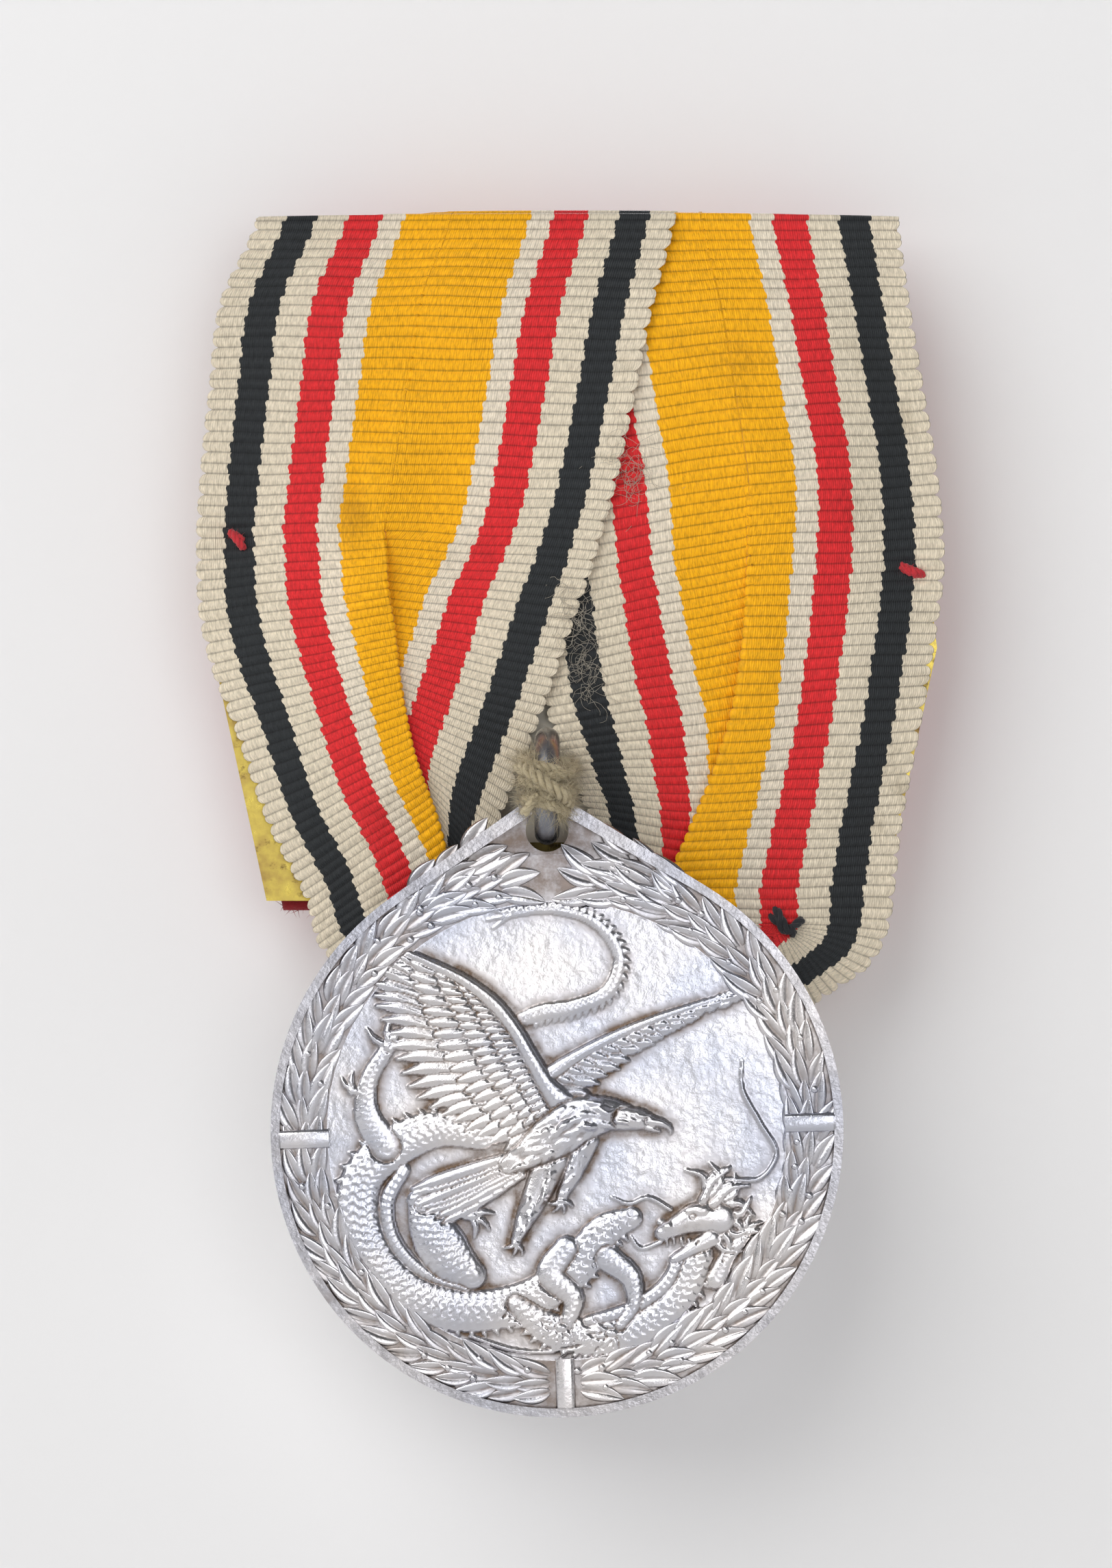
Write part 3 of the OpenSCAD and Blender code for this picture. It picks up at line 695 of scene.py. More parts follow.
THREAD = 0.13
thread_spot = add_node(cloth_tree, "ShaderNodeCombineXYZ", inputs={
    0: calc(cloth_tree, "DIVIDE", across_mm, THREAD),
    1: calc(cloth_tree, "MULTIPLY", ribs_in, 1.1)}).outputs[0]
fleck = add_node(cloth_tree, "ShaderNodeTexNoise", {"noise_dimensions": "2D"},
                 {"Vector": thread_spot, "Scale": 1.0, "Detail": 2.0,
                 "Roughness": 0.7}).outputs["Fac"]
thread_wave = calc(cloth_tree, "SINE", calc(cloth_tree, "MULTIPLY", across_mm,
    2 * math.pi / THREAD))
cloth_spot = object_spot(cloth_tree)
dirt_and_shade_noise = noise(cloth_tree, cloth_spot, 150.0, 6.0, 0.65)
broad = noise(cloth_tree, cloth_spot, 45.0, 3.0, 0.5)
fleck_tone = ranged(cloth_tree, fleck, 0.3, 0.72, 0.8, 1.22)
# Painted shade: the stripe colour is darkened towards each groove between the ribs, down to 0.4 of
# its tone.
groove = calc(cloth_tree, "POWER", calc(cloth_tree, "ABSOLUTE",
    calc(cloth_tree, "SINE", calc(cloth_tree, "MULTIPLY", ribs_in, math.pi))), 0.5)
groove_painted_shade = ranged(cloth_tree, groove, 0.0, 0.72, 0.4, 1.04)
broad_tone = ranged(cloth_tree, broad, 0.3, 0.7, 0.93, 1.05)
tone = calc(cloth_tree, "MULTIPLY", calc(cloth_tree, "MULTIPLY", fleck_tone, groove_painted_shade),
            broad_tone)
toned = vector_calc(cloth_tree, "SCALE", stripe_colour, scale=tone)[0]
dirt_share = ranged(cloth_tree, dirt_and_shade_noise, 0.58, 0.74, 0.0, 0.34)
soiled = mixed(cloth_tree, dirt_share, toned, linear("#8a7a4e"), "MULTIPLY")
# Painted shade: a darker brownish patch at the head of the left pleat stands for the shade of the
# crease there. The dirt noise breaks up its edge.
face_spot = vector_calc(cloth_tree, "MULTIPLY", cloth_spot, (1, 0, 0.6))[0]
from_pleat = vector_calc(cloth_tree, "DISTANCE", face_spot, (-12.5 * MM, 0, -3.5 * MM))["Value"]
pleat_shade_edge = calc(cloth_tree, "MULTIPLY_ADD", dirt_and_shade_noise, -2.2 * MM, from_pleat)
pleat_painted_shade = ranged(cloth_tree, pleat_shade_edge, -1.1 * MM, 0.7 * MM, 0.34, 0.0, "SMOOTHSTEP")
pleat_shaded_colour = mixed(cloth_tree, pleat_painted_shade, soiled, linear("#86734a"), "MULTIPLY")
weave_height = calc(cloth_tree, "MULTIPLY_ADD", thread_wave, 0.35, fleck)
feed(cloth_tree, cloth_shader, {
    "Base Color": pleat_shaded_colour, "Normal": bump(cloth_tree, weave_height, 0.55, 0.00006),
    "Roughness": 0.62,
    "Sheen Weight": 0.16, "Sheen Roughness": 0.4, "Specular IOR Level": 0.35})

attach(ribbon, "mount")
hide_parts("ribbon")

# %% [markdown]
# ## The medal's relief
# The struck design is an eagle that comes down on a dragon, drawn here as a generic one. It is
# modelled the way a die sculptor builds it up, with strokes: each stroke is a curve with a half
# width and a height at every station, and it is laid over what is already there. Feathers, scales
# and claws are all strokes. They are laid on a square grid of heights, which then becomes a mesh.

# %% Make the tools that draw the relief
CELL = 0.078
FIELD_R = 13.4
ticks = np.arange(-FIELD_R, FIELD_R + CELL, CELL)
grid_x, grid_z = np.meshgrid(ticks, ticks)
relief = np.zeros_like(grid_x)
draw = np.random.default_rng(7)


def smooth_line(points, gap=0.22):
    """A smooth curve through (x, z, half width, height) stations, with a point about every gap."""
    points = np.array(points, float)
    at = np.concatenate([[0], np.cumsum(np.hypot(*np.diff(points[:, :2], axis=0).T))])
    count = max(5, int(at[-1] / gap))
    return through_stations(np.column_stack([at, points]), np.linspace(0, at[-1], count)), at[-1]


def stroke(points, texture=None, edge=0.3, over=True, round_off=2.0):
    """Lay a stroke on the relief. over=True covers what is below, False adds to it."""
    line, length = smooth_line(points)
    reach = line[:, 2].max() + CELL
    low, high = line[:, :2].min(0) - reach, line[:, :2].max(0) + reach
    c0, c1 = np.searchsorted(ticks, [low[0], high[0]])
    r0, r1 = np.searchsorted(ticks, [low[1], high[1]])
    if c1 <= c0 or r1 <= r0:
        return
    x, z = grid_x[r0:r1, c0:c1], grid_z[r0:r1, c0:c1]
    nearest = np.full(x.shape, 1e9)
    share, side = np.zeros(x.shape), np.ones(x.shape)
    for i in range(len(line) - 1):
        a, d = line[i, :2], line[i + 1, :2] - line[i, :2]
        t = np.clip(((x - a[0]) * d[0] + (z - a[1]) * d[1]) / (d @ d + 1e-12), 0, 1)
        gap = np.hypot(x - a[0] - t * d[0], z - a[1] - t * d[1])
        closer = gap < nearest
        nearest = np.where(closer, gap, nearest)
        share = np.where(closer, (i + t) / (len(line) - 1), share)
        side = np.where(closer, np.sign((x - a[0]) * d[1] - (z - a[1]) * d[0]), side)
    spot = share * (len(line) - 1)
    width = np.interp(spot, np.arange(len(line)), line[:, 2])
    height = np.interp(spot, np.arange(len(line)), line[:, 3])
    q = nearest / np.maximum(width, 1e-6)
    dome = np.clip(1 - q**round_off, 0, 1) ** 0.5
    value = height * (edge + (1 - edge) * dome) if over else height * dome
    if texture:
        value = value + texture(share * length, nearest * side, np.clip(1.25 - q, 0, 1) ** 0.5)
    part = relief[r0:r1, c0:c1]
    relief[r0:r1, c0:c1] = np.where(q < 1, value if over else part + value, part)


def scales(size, amount):
    """Overlapping scales in staggered rows, for the back of a dragon."""
    def texture(along, across, fade):
        row = np.floor(across / size)
        u = along / size + 0.5 * (row % 2) - 1.6 * ((across / size) % 1 - 0.5) ** 2
        return amount * fade * ((u % 1) ** 0.7 - 0.5)
    return texture


def plates(pitch, amount):
    """Broad plates that cross a neck or a belly."""
    return lambda along, across, fade: amount * fade * (((along / pitch + 0.25 * across**2) % 1)
        - 0.5)


def barbs(pitch, amount):
    """A feather's shaft with fine slanting barbs to each side."""
    def texture(along, across, fade):
        lines = np.sin(2 * np.pi * (along + 1.3 * np.abs(across)) / pitch)
        return amount * fade * lines + 1.6 * amount * np.exp(-((across / 0.07) ** 2))
    return texture


def shag(count, path, length, width, height, jitter=0.5):
    """Short overlapping tufts along a path: neck feathers, leg feathers, a mane."""
    line, _ = smooth_line(path, 0.1)
    for k in range(count):
        at = line[min(int((k + draw.random()) / count * (len(line) - 1)), len(line) - 2)]
        ahead = line[min(int((k + 1) / count * (len(line) - 1)) + 1, len(line) - 1), :2] - at[:2]
        angle = math.atan2(ahead[1], ahead[0]) + draw.uniform(-jitter, jitter)
        off = draw.uniform(-0.8, 0.8) * at[2]
        x, z = at[0] - off * math.sin(angle), at[1] + off * math.cos(angle)
        dx, dz = length * math.cos(angle), length * math.sin(angle)
        stroke([(x, z, width, height), (x + dx * 0.6, z + dz * 0.6, width * 0.9, height),
               (x + dx, z + dz, width * 0.15, 0.2 * height)],
               over=False)


def feathers(roots, tips, count, width, height, bend=0.0, barb=0.028):
    """A row of long feathers from roots to tips, each over the one before."""
    root_line, _ = smooth_line([(*p, 0, 0) for p in roots], 0.05)
    tip_line, _ = smooth_line([(*p, 0, 0) for p in tips], 0.05)
    for k in range(count):
        f = k / (count - 1)
        a = root_line[int(f * (len(root_line) - 1)), :2]
        b = tip_line[int(f * (len(tip_line) - 1)), :2] + draw.uniform(-0.12, 0.12, 2)
        middle = (a + b) / 2 + bend * np.array([-(b - a)[1], (b - a)[0]])
        stroke([(*a, width * 0.6, height), (*middle, width, height * 1.05),
                (*(b * 0.85 + a * 0.15), width * 0.8, height * 0.9),
                (*b, width * 0.25, height * 0.6)], barbs(0.2, barb), edge=0.45)


def coverts(roots, tips, count, at, length, width, height):
    """A row of short rounded feathers that covers the roots of the long ones."""
    root_line, _ = smooth_line([(*p, 0, 0) for p in roots], 0.05)
    tip_line, _ = smooth_line([(*p, 0, 0) for p in tips], 0.05)
    for k in range(count):
        f = (k + 0.5) / count
        a, b = root_line[int(f * (len(root_line) - 1)),
                         :2], tip_line[int(f * (len(tip_line) - 1)), :2]
        way = (b - a) / np.linalg.norm(b - a)
        start = a + (b - a) * at - way * length * 0.5
        stroke([(*start, width * 0.8, height * 0.9), (*(start + way * length * 0.6), width, height),
                (*(start + way * length), width * 0.6, height * 0.75)], barbs(0.24, 0.015),
                edge=0.4)


def claws(palm, directions, length, width, height):
    """Hooked claws that spread from a palm, in degrees."""
    for degrees in directions:
        angle = math.radians(degrees)
        ax, az = math.cos(angle), math.sin(angle)
        x, z = palm[0] + ax * length * 0.6, palm[1] + az * length * 0.6
        hook = angle - 0.5
        stroke([(*palm, width, height), (x, z, width * 0.8, height),
                (x + 0.4 * length * math.cos(hook), z + 0.4 * length * math.sin(hook),
                width * 0.2, height * 0.5)], scales(0.25, 0.03), edge=0.35)
    stroke([(palm[0] - 0.1, palm[1], width * 1.4, height * 1.1),
            (palm[0] + 0.1, palm[1], width * 1.3, height * 1.1)])


def spines(path, pitch, length, lean, height, side=1):
    """A row of pointed spines along one side of a body."""
    line, total = smooth_line(path, 0.05)
    for k in range(int(total / pitch)):
        i = min(int(k * pitch / total * (len(line) - 1)), len(line) - 2)
        way = line[i + 1, :2] - line[i, :2]
        way /= np.linalg.norm(way)
        out = side * np.array([-way[1], way[0]])
        foot = line[i, :2] + out * line[i, 2] * 0.8
        tip = foot + (out + lean * way) * length
        stroke([(*foot, 0.2, height), (*((foot + tip) / 2), 0.15, height),
                (*tip, 0.04, height * 0.5)], edge=0.4)


# %% [markdown]
# ### The dragon
# It lies round the lower left: tail at the top, a coil of scaly back, and the neck and the head at
# the right. What is furthest back is laid first.

# %% Draw the dragon
tail = [(-2.4, 12.1, 0.12, 0.1), (0.2, 12.35, 0.24, 0.16), (2.6, 11.5, 0.3, 0.18),
        (3.8, 9.6, 0.34, 0.2), (3.2, 7.8, 0.38, 0.22),
        (1.2, 6.9, 0.42, 0.24), (-0.8, 6.6, 0.45, 0.22), (-1.9, 6.2, 0.4, 0.18)]
spines(tail, 0.42, 0.36, 0.5, 0.13)
stroke(tail, scales(0.3, 0.035))
for spread_x, spread_z in ((-3.4, 12.6), (-3.5, 11.9), (-3.2, 11.4)):
    stroke([(-2.3, 12.1, 0.16, 0.12), (spread_x, spread_z, 0.05, 0.08)])

back = [(-4.2, -0.1, 0.8, 0.3), (-6.6, 0.3, 1.0, 0.38), (-9.1, -0.6, 1.15, 0.45),
        (-11.0, -2.4, 1.15, 0.48), (-11.2, -5.0, 1.25, 0.5),
        (-9.9, -7.6, 1.3, 0.5), (-7.2, -9.5, 1.25, 0.48), (-4.2, -9.9, 1.15, 0.46),
        (-1.0, -9.0, 1.1, 0.44), (1.2, -7.2, 1.1, 0.42),
        (2.6, -5.6, 0.9, 0.38), (4.0, -5.0, 0.6, 0.3)]
spines(back, 0.62, 0.5, 0.35, 0.32, side=-1)
stroke(back, scales(0.5, 0.12), edge=0.2)
belly = [(-8.6, -1.9, 0.35, 0.3), (-9.6, -3.6, 0.42, 0.36), (-9.4, -5.6, 0.42, 0.36),
         (-7.9, -7.5, 0.4, 0.36), (-5.4, -8.5, 0.35, 0.32)]
stroke(belly, plates(0.4, 0.06))
stroke([(-7.9, -3.6, 0.6, 0.3), (-7.2, -5.2, 1.25, 0.52), (-6.2, -6.9, 1.35, 0.56),
        (-5.0, -7.9, 0.8, 0.45)], scales(0.46, 0.1), edge=0.2)
stroke([(-7.6, -3.9, 0.5, 0.36), (-6.2, -3.9, 0.42, 0.36), (-5.2, -4.5, 0.34, 0.36)],
       scales(0.32, 0.04))
claws((-4.9, -4.6), (-75, -30, 15, 60), 1.3, 0.2, 0.36)
stroke([(-9.6, -0.6, 0.9, 0.3), (-10.6, 1.4, 0.7, 0.3), (-10.4, 3.2, 0.5, 0.3),
        (-9.4, 4.8, 0.42, 0.3)], scales(0.34, 0.05))
claws((-9.2, 5.0), (15, 55, 95, 150), 1.7, 0.22, 0.32)
claws((-11.3, 2.6), (100, 140), 1.1, 0.18, 0.26)

neck = [(-2.6, -9.6, 0.6, 0.3), (-0.6, -11.1, 0.95, 0.42), (2.2, -11.6, 1.0, 0.46),
        (4.9, -10.8, 1.0, 0.5), (6.8, -9.0, 0.95, 0.5),
        (7.6, -7.2, 0.9, 0.5)]
spines(neck, 0.5, 0.5, -0.4, 0.3, side=-1)
stroke(neck, scales(0.46, 0.12), edge=0.2)
stroke([(1.4, -10.7, 0.3, 0.34), (4.2, -9.9, 0.4, 0.42), (6.0, -8.5, 0.4, 0.42),
        (6.6, -7.3, 0.36, 0.4)], plates(0.36, 0.06))
stroke([(2.6, -7.2, 0.75, 0.36), (3.9, -8.4, 0.6, 0.42), (4.0, -9.8, 0.42, 0.42),
        (3.2, -11.0, 0.34, 0.4)], scales(0.34, 0.05))
claws((2.7, -11.4), (150, 190, 235, 285), 1.35, 0.2, 0.44)
stroke([(0.3, -6.6, 0.7, 0.4), (-0.6, -8.0, 0.8, 0.46), (0.6, -9.4, 0.62, 0.46),
        (0.2, -10.8, 0.4, 0.42)], scales(0.34, 0.05))
claws((-0.1, -11.0), (170, 215, 260, 310), 1.3, 0.2, 0.44)
stroke([(8.6, -8.6, 0.55, 0.36), (9.4, -7.2, 0.42, 0.36), (10.3, -6.2, 0.32, 0.32)],
       scales(0.3, 0.04))
claws((10.4, -6.0), (0, 40, 85), 1.1, 0.18, 0.3)

# %% Draw the dragon's head
for tuft in range(11):
    angle = math.radians(100 - 17 * tuft)
    root = (8.4 + 0.6 * math.cos(angle), -4.9 + 1.0 * math.sin(angle))
    bow = angle + 0.5 * (-1) ** tuft
    stroke([(*root, 0.3, 0.42), (root[0] + 1.1 * math.cos(angle), root[1] + 1.1 * math.sin(angle),
            0.22, 0.4),
            (root[0] + 1.9 * math.cos(bow), root[1] + 1.9 * math.sin(bow), 0.06, 0.2)],
            barbs(0.2, 0.02))
stroke([(8.9, -5.2, 0.9, 0.5), (7.7, -5.1, 0.85, 0.58), (6.6, -5.5, 0.6, 0.54),
        (5.7, -5.9, 0.42, 0.46)], edge=0.2)
stroke([(8.4, -6.3, 0.5, 0.44), (7.3, -6.9, 0.4, 0.44), (6.3, -7.4, 0.26, 0.38)])
stroke([(6.0, -5.5, 0.26, 0.2), (5.6, -5.3, 0.2, 0.16)], over=False)
stroke([(8.0, -4.6, 0.36, 0.14), (7.2, -4.6, 0.26, 0.12)], over=False)
stroke([(7.5, -5.0, 0.2, -0.16), (7.4, -5.0, 0.2, -0.16)], over=False)
stroke([(7.47, -5.0, 0.1, 0.2), (7.43, -5.0, 0.1, 0.2)], over=False)
for tooth in range(5):
    stroke([(5.9 + 0.42 * tooth, -6.2 - 0.04 * tooth, 0.09, 0.4),
            (5.95 + 0.42 * tooth, -6.6, 0.03, 0.3)])
for horn in ([(8.6, -4.4, 0.3, 0.5), (9.6, -3.5, 0.22, 0.46), (10.6, -3.4, 0.1, 0.3)],
             [(8.0, -4.2, 0.28, 0.5), (8.6, -3.1, 0.2, 0.46),
             (9.5, -2.5, 0.08, 0.3)]):
    stroke(horn, plates(0.3, 0.04))
for whisker in ([(9.3, -3.0, 0.13, 0.26), (11.3, -3.0, 0.11, 0.24), (12.2, -1.8, 0.1, 0.22),
                 (11.3, 0.2, 0.09, 0.2), (10.4, 2.2, 0.08, 0.16),
                 (10.5, 3.6, 0.05, 0.1)], [(6.2, -4.6, 0.13, 0.26), (4.9, -3.9, 0.11, 0.24),
                 (3.9, -4.2, 0.1, 0.2), (2.9, -3.8, 0.05, 0.12)],
                [(5.6, -6.4, 0.12, 0.22), (4.4, -6.7, 0.1, 0.2), (3.9, -6.0, 0.05, 0.12)],
                [(-5.2, -11.3, 0.1, 0.2), (-2.6, -12.2, 0.12, 0.22), (-0.6, -12.3, 0.1, 0.2),
                (0.9, -12.0, 0.06, 0.14)]):
    stroke(whisker)

# %% [markdown]
# ### The eagle
# It comes down from the upper left with one wing raised and one spread away to the right. Long
# feathers fan out from the wing's front edge, and each wing is covered by two rows of short ones.

# %% Draw the eagle
far_front = [(-0.7, 3.0), (1.0, 4.0), (3.0, 5.0), (5.4, 5.95), (8.0, 6.7), (9.6, 7.15)]
far_tips = [(1.9, 1.9), (3.2, 3.2), (4.6, 4.1), (6.4, 5.2), (8.5, 6.35), (10.7, 7.35)]
feathers(far_front[::-1], far_tips[::-1], 15, 0.36, 0.3, bend=-0.08)
coverts(far_front[::-1], far_tips[::-1], 14, 0.32, 0.9, 0.27, 0.36)
stroke([(-0.7, 2.9, 0.5, 0.44), (1.0, 4.0, 0.36, 0.42), (3.0, 5.0, 0.3, 0.38),
        (5.4, 5.95, 0.24, 0.34), (8.0, 6.75, 0.18, 0.28),
        (10.6, 7.5, 0.08, 0.14)], scales(0.3, 0.03))

near_front = [(-4.2, 8.0), (-3.2, 7.2), (-2.3, 5.9), (-1.5, 4.5), (-0.8, 3.0), (-0.2, 1.2)]
near_tips = [(-9.7, 11.0), (-10.2, 9.4), (-10.0, 7.9), (-9.3, 5.8), (-8.6, 3.8), (-7.5, 2.0),
             (-6.0, 0.8), (-4.4, -0.1), (-3.0, -0.9)]
feathers(near_front, near_tips, 20, 0.42, 0.42, bend=0.07, barb=0.035)
coverts(near_front, near_tips, 17, 0.5, 1.7, 0.36, 0.5)
coverts(near_front, near_tips, 19, 0.3, 1.3, 0.31, 0.56)
coverts(near_front, near_tips, 20, 0.14, 1.0, 0.27, 0.6)
stroke([(-9.9, 11.0, 0.12, 0.3), (-7.0, 9.7, 0.26, 0.48), (-4.4, 8.2, 0.36, 0.58),
        (-3.1, 7.0, 0.42, 0.62), (-2.1, 5.6, 0.42, 0.62),
        (-1.3, 4.1, 0.45, 0.62), (-0.5, 2.6, 0.55, 0.62), (0.4, 1.4, 0.8, 0.6)],
        scales(0.36, 0.035), edge=0.4)

feathers([(-2.0, -2.4), (-2.4, -1.9), (-2.3, -1.2)], [(-6.6, -4.9), (-7.9, -4.0), (-8.2, -2.9)], 7,
         0.36, 0.44)
leg = [(-0.3, -1.6, 0.95, 0.56), (-1.1, -3.2, 0.8, 0.54), (-1.9, -4.8, 0.55, 0.48),
       (-2.5, -6.0, 0.25, 0.36)]
stroke(leg, edge=0.25)
shag(26, leg, 0.8, 0.17, 0.1, 0.35)
other_leg = [(1.6, -0.6, 0.7, 0.5), (0.9, -2.2, 0.55, 0.46), (0.2, -3.6, 0.32, 0.4)]
stroke(other_leg, edge=0.25)
shag(14, other_leg, 0.7, 0.14, 0.09, 0.35)
claws((-2.5, -6.2), (-150, -95, -50), 0.8, 0.13, 0.5)
claws((0.1, -3.9), (-160, -115, -70, -20), 0.8, 0.13, 0.46)
body = [(4.3, 0.5, 0.62, 0.64), (3.0, 0.8, 0.95, 0.72), (1.4, 0.6, 1.3, 0.78),
        (-0.2, -0.3, 1.35, 0.74), (-1.6, -1.2, 0.95, 0.62),
        (-2.8, -1.8, 0.55, 0.48)]
stroke(body, edge=0.25)
shag(74, body, 0.85, 0.19, 0.085, 0.45)
stroke([(3.7, 0.55, 0.66, 0.66), (4.6, 0.5, 0.62, 0.72), (5.25, 0.32, 0.42, 0.66)], edge=0.3)
stroke([(5.2, 0.36, 0.3, 0.62), (5.9, 0.22, 0.24, 0.56), (6.3, -0.05, 0.14, 0.42),
        (6.35, -0.4, 0.05, 0.3)], edge=0.4)
stroke([(5.1, 0.0, 0.18, 0.5), (5.7, -0.2, 0.1, 0.36)], edge=0.4)
shag(16, [(4.6, 0.5, 0.5, 0), (3.2, 0.7, 0.6, 0)], 0.5, 0.11, 0.06, 0.4)
stroke([(4.6, 0.72, 0.13, 0.1), (5.3, 0.6, 0.1, 0.08)], over=False)
stroke([(4.95, 0.5, 0.14, -0.14), (5.0, 0.5, 0.14, -0.14)], over=False)
stroke([(4.97, 0.5, 0.06, 0.14), (4.99, 0.5, 0.06, 0.14)], over=False)

# %% [markdown]
# ### From heights to a mesh
# The struck field isn't a perfect mirror: it bulges a little, has broad soft waves and fine pits.
# Grime settles in hollows, so each point also gets a hollow value for the steel's material: how far
# it lies below the average of its surroundings. The outer edge dives under the wreath band.

# %% Turn the relief into a mesh
def blurred(values, radius, times=3):
    """A soft blur: the average over a square, repeated."""
    for _ in range(times):
        for axis in (0, 1):
            padded = np.pad(values, [(radius, radius) if a == axis else (0, 0) for a in (0, 1)],
                            mode="edge")
            total = np.cumsum(np.insert(padded, 0, 0, axis=axis), axis=axis)
            size = 2 * radius + 1
            values = (np.take(total, range(size, total.shape[axis]), axis)
                      - np.take(total, range(0, total.shape[axis] - size), axis)) / size
    return values


radius = np.hypot(grid_x, grid_z)
pits = draw.normal(0, 1, relief.shape)
pits = 0.012 * blurred(pits, 1, 2) / 0.25 + 0.008 * blurred(draw.normal(0, 1, relief.shape), 3,
    2) / 0.08
broad_waves = 0.9 * blurred(draw.normal(0, 1, relief.shape), 14, 3)
bare = np.exp(-((relief / 0.05) ** 2))
RELIEF_SCALE = 0.8
heights = RELIEF_SCALE * (0.85 * relief + 0.15 * blurred(relief, 1, 1)) + (0.25 + 0.75
    * bare) * pits * 0.2 + broad_waves * 0.35
heights += 0.05 * (1 - (radius / FIELD_R) ** 2)
heights *= 1 - smoothstep(12.95, 13.3, radius)
hollow = np.clip((blurred(relief, 5, 2) - relief) / 0.11, 0,
                 1) * (1 - smoothstep(12.5, 12.9, radius))
print("relief", round(float(heights.max()), 2), "mm high at most")

FIELD_DEPTH = 0.45
FIELD_Y = MEDAL_FRONT + FIELD_DEPTH
BAND_Y = FIELD_Y - 0.2


def on_medal(x, z):
    """World x and z of a point of the upright drawing."""
    return (MEDAL_MIDDLE[0] + x * math.cos(MEDAL_LEAN) - z * math.sin(MEDAL_LEAN),
            MEDAL_MIDDLE[2] + x * math.sin(MEDAL_LEAN) + z * math.cos(MEDAL_LEAN))


steel, steel_tree, steel_shader = new_material("struck_steel_bright_with_grime")
inside = radius < FIELD_R
number = np.full(inside.shape, -1)
number[inside] = np.arange(inside.sum())
world_x, world_z = on_medal(grid_x[inside], grid_z[inside])
corners = np.stack([number[:-1, :-1], number[:-1, 1:], number[1:, 1:], number[1:, :-1]],
                   -1).reshape(-1, 4)
corners = corners[(corners >= 0).all(1)]
medal_relief = mesh_from("medal_relief", np.stack([world_x, FIELD_Y - 0.02 - heights[inside],
    world_z], -1), corners.tolist(), steel)
set_attribute(medal_relief.data, "hollow", hollow[inside])
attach(medal_relief, "medal")
print("relief mesh", len(medal_relief.data.polygons), "quads")

# %% [markdown]
# ### The laurel wreath, by geometry nodes
# Two sprays start at the bottom tie and climb both sides to the pierced point. The leaf is one small
# mesh. The tree walks along the sprays at an even pitch and sets three leaves at every step, one
# ahead and one to each side, and a berry at some steps, so the pitch, the spread and the seed can be
# changed at any time.

# %% Make one leaf
LEAF_L, LEAF_W, LEAF_H = 2.6, 1.1, 0.17
t = np.linspace(0, 1, 12)[:, None]
s = np.linspace(-1, 1, 11)[None, :]
half = LEAF_W / 2 * np.sin(np.pi * t**0.8) ** 0.75
leaf_x = t * LEAF_L + 0 * s
leaf_z = half * s + 0.12 * np.sin(np.pi * t)
lobes = (1 - (2 * np.abs(s) - 1) ** 4) ** 0.6 * (0.55 + 0.45 * np.abs(s))
leaf_y = 0.05 - LEAF_H * lobes * np.sin(np.pi * t) ** 0.35 - 0.1 * t * (np.abs(s) < 0.95)
leaf = mesh_from("one_leaf", np.stack([leaf_x, leaf_y, leaf_z], -1).reshape(-1, 3),
                 grid_faces(12, 11), steel)
bpy.context.collection.objects.unlink(leaf)

# %% Build the wreath tree
tree, given, wanted = new_tree("laurel_wreath", [
    ("Leaf", "Object"), ("Pitch", "Float"), ("Spread", "Float"), ("Apart", "Float"),
    ("Berry radius", "Float"), ("Middle", "Vector"), ("Steel", "Material"), ("Seed", "Int")])


as_curve = add_node(tree, "GeometryNodeMeshToCurve", inputs={0: given["Geometry"]}).outputs[0]
walk = add_node(tree, "GeometryNodeCurveToPoints", {"mode": "LENGTH"},
                {"Curve": as_curve, "Length": given["Pitch"]})
tangent = add_node(tree, "ShaderNodeSeparateXYZ", inputs={0: walk.outputs["Tangent"]}).outputs
heading = calc(tree, "ARCTAN2", tangent["Z"], tangent["X"])
leaf_info = add_node(tree, "GeometryNodeObjectInfo",
                     inputs={"Object": given["Leaf"]}).outputs["Geometry"]
place = add_node(tree, "GeometryNodeInputPosition").outputs[0]
outward = vector_calc(tree, "NORMALIZE", vector_calc(tree, "SUBTRACT", place,
    given["Middle"])[0])[0]
clockwise = add_node(tree, "FunctionNodeCompare", {"data_type": "FLOAT",
    "operation": "LESS_THAN"}, {
    0: vector_calc(tree, "DOT_PRODUCT", vector_calc(tree, "CROSS_PRODUCT", outward,
    walk.outputs["Tangent"])[0], (0, 1, 0))["Value"], 1: 0.0}).outputs[0]
turn_side = calc(tree, "MULTIPLY_ADD", clockwise, -2.0, 1.0)
joined = add_node(tree, "GeometryNodeJoinGeometry")


def random_value(low, high, salt):
    node = add_node(tree, "FunctionNodeRandomValue", {"data_type": "FLOAT"}, {2: low, 3: high})
    tree.links.new(calc(tree, "ADD", given["Seed"], salt), node.inputs["Seed"])
    return node.outputs[1]


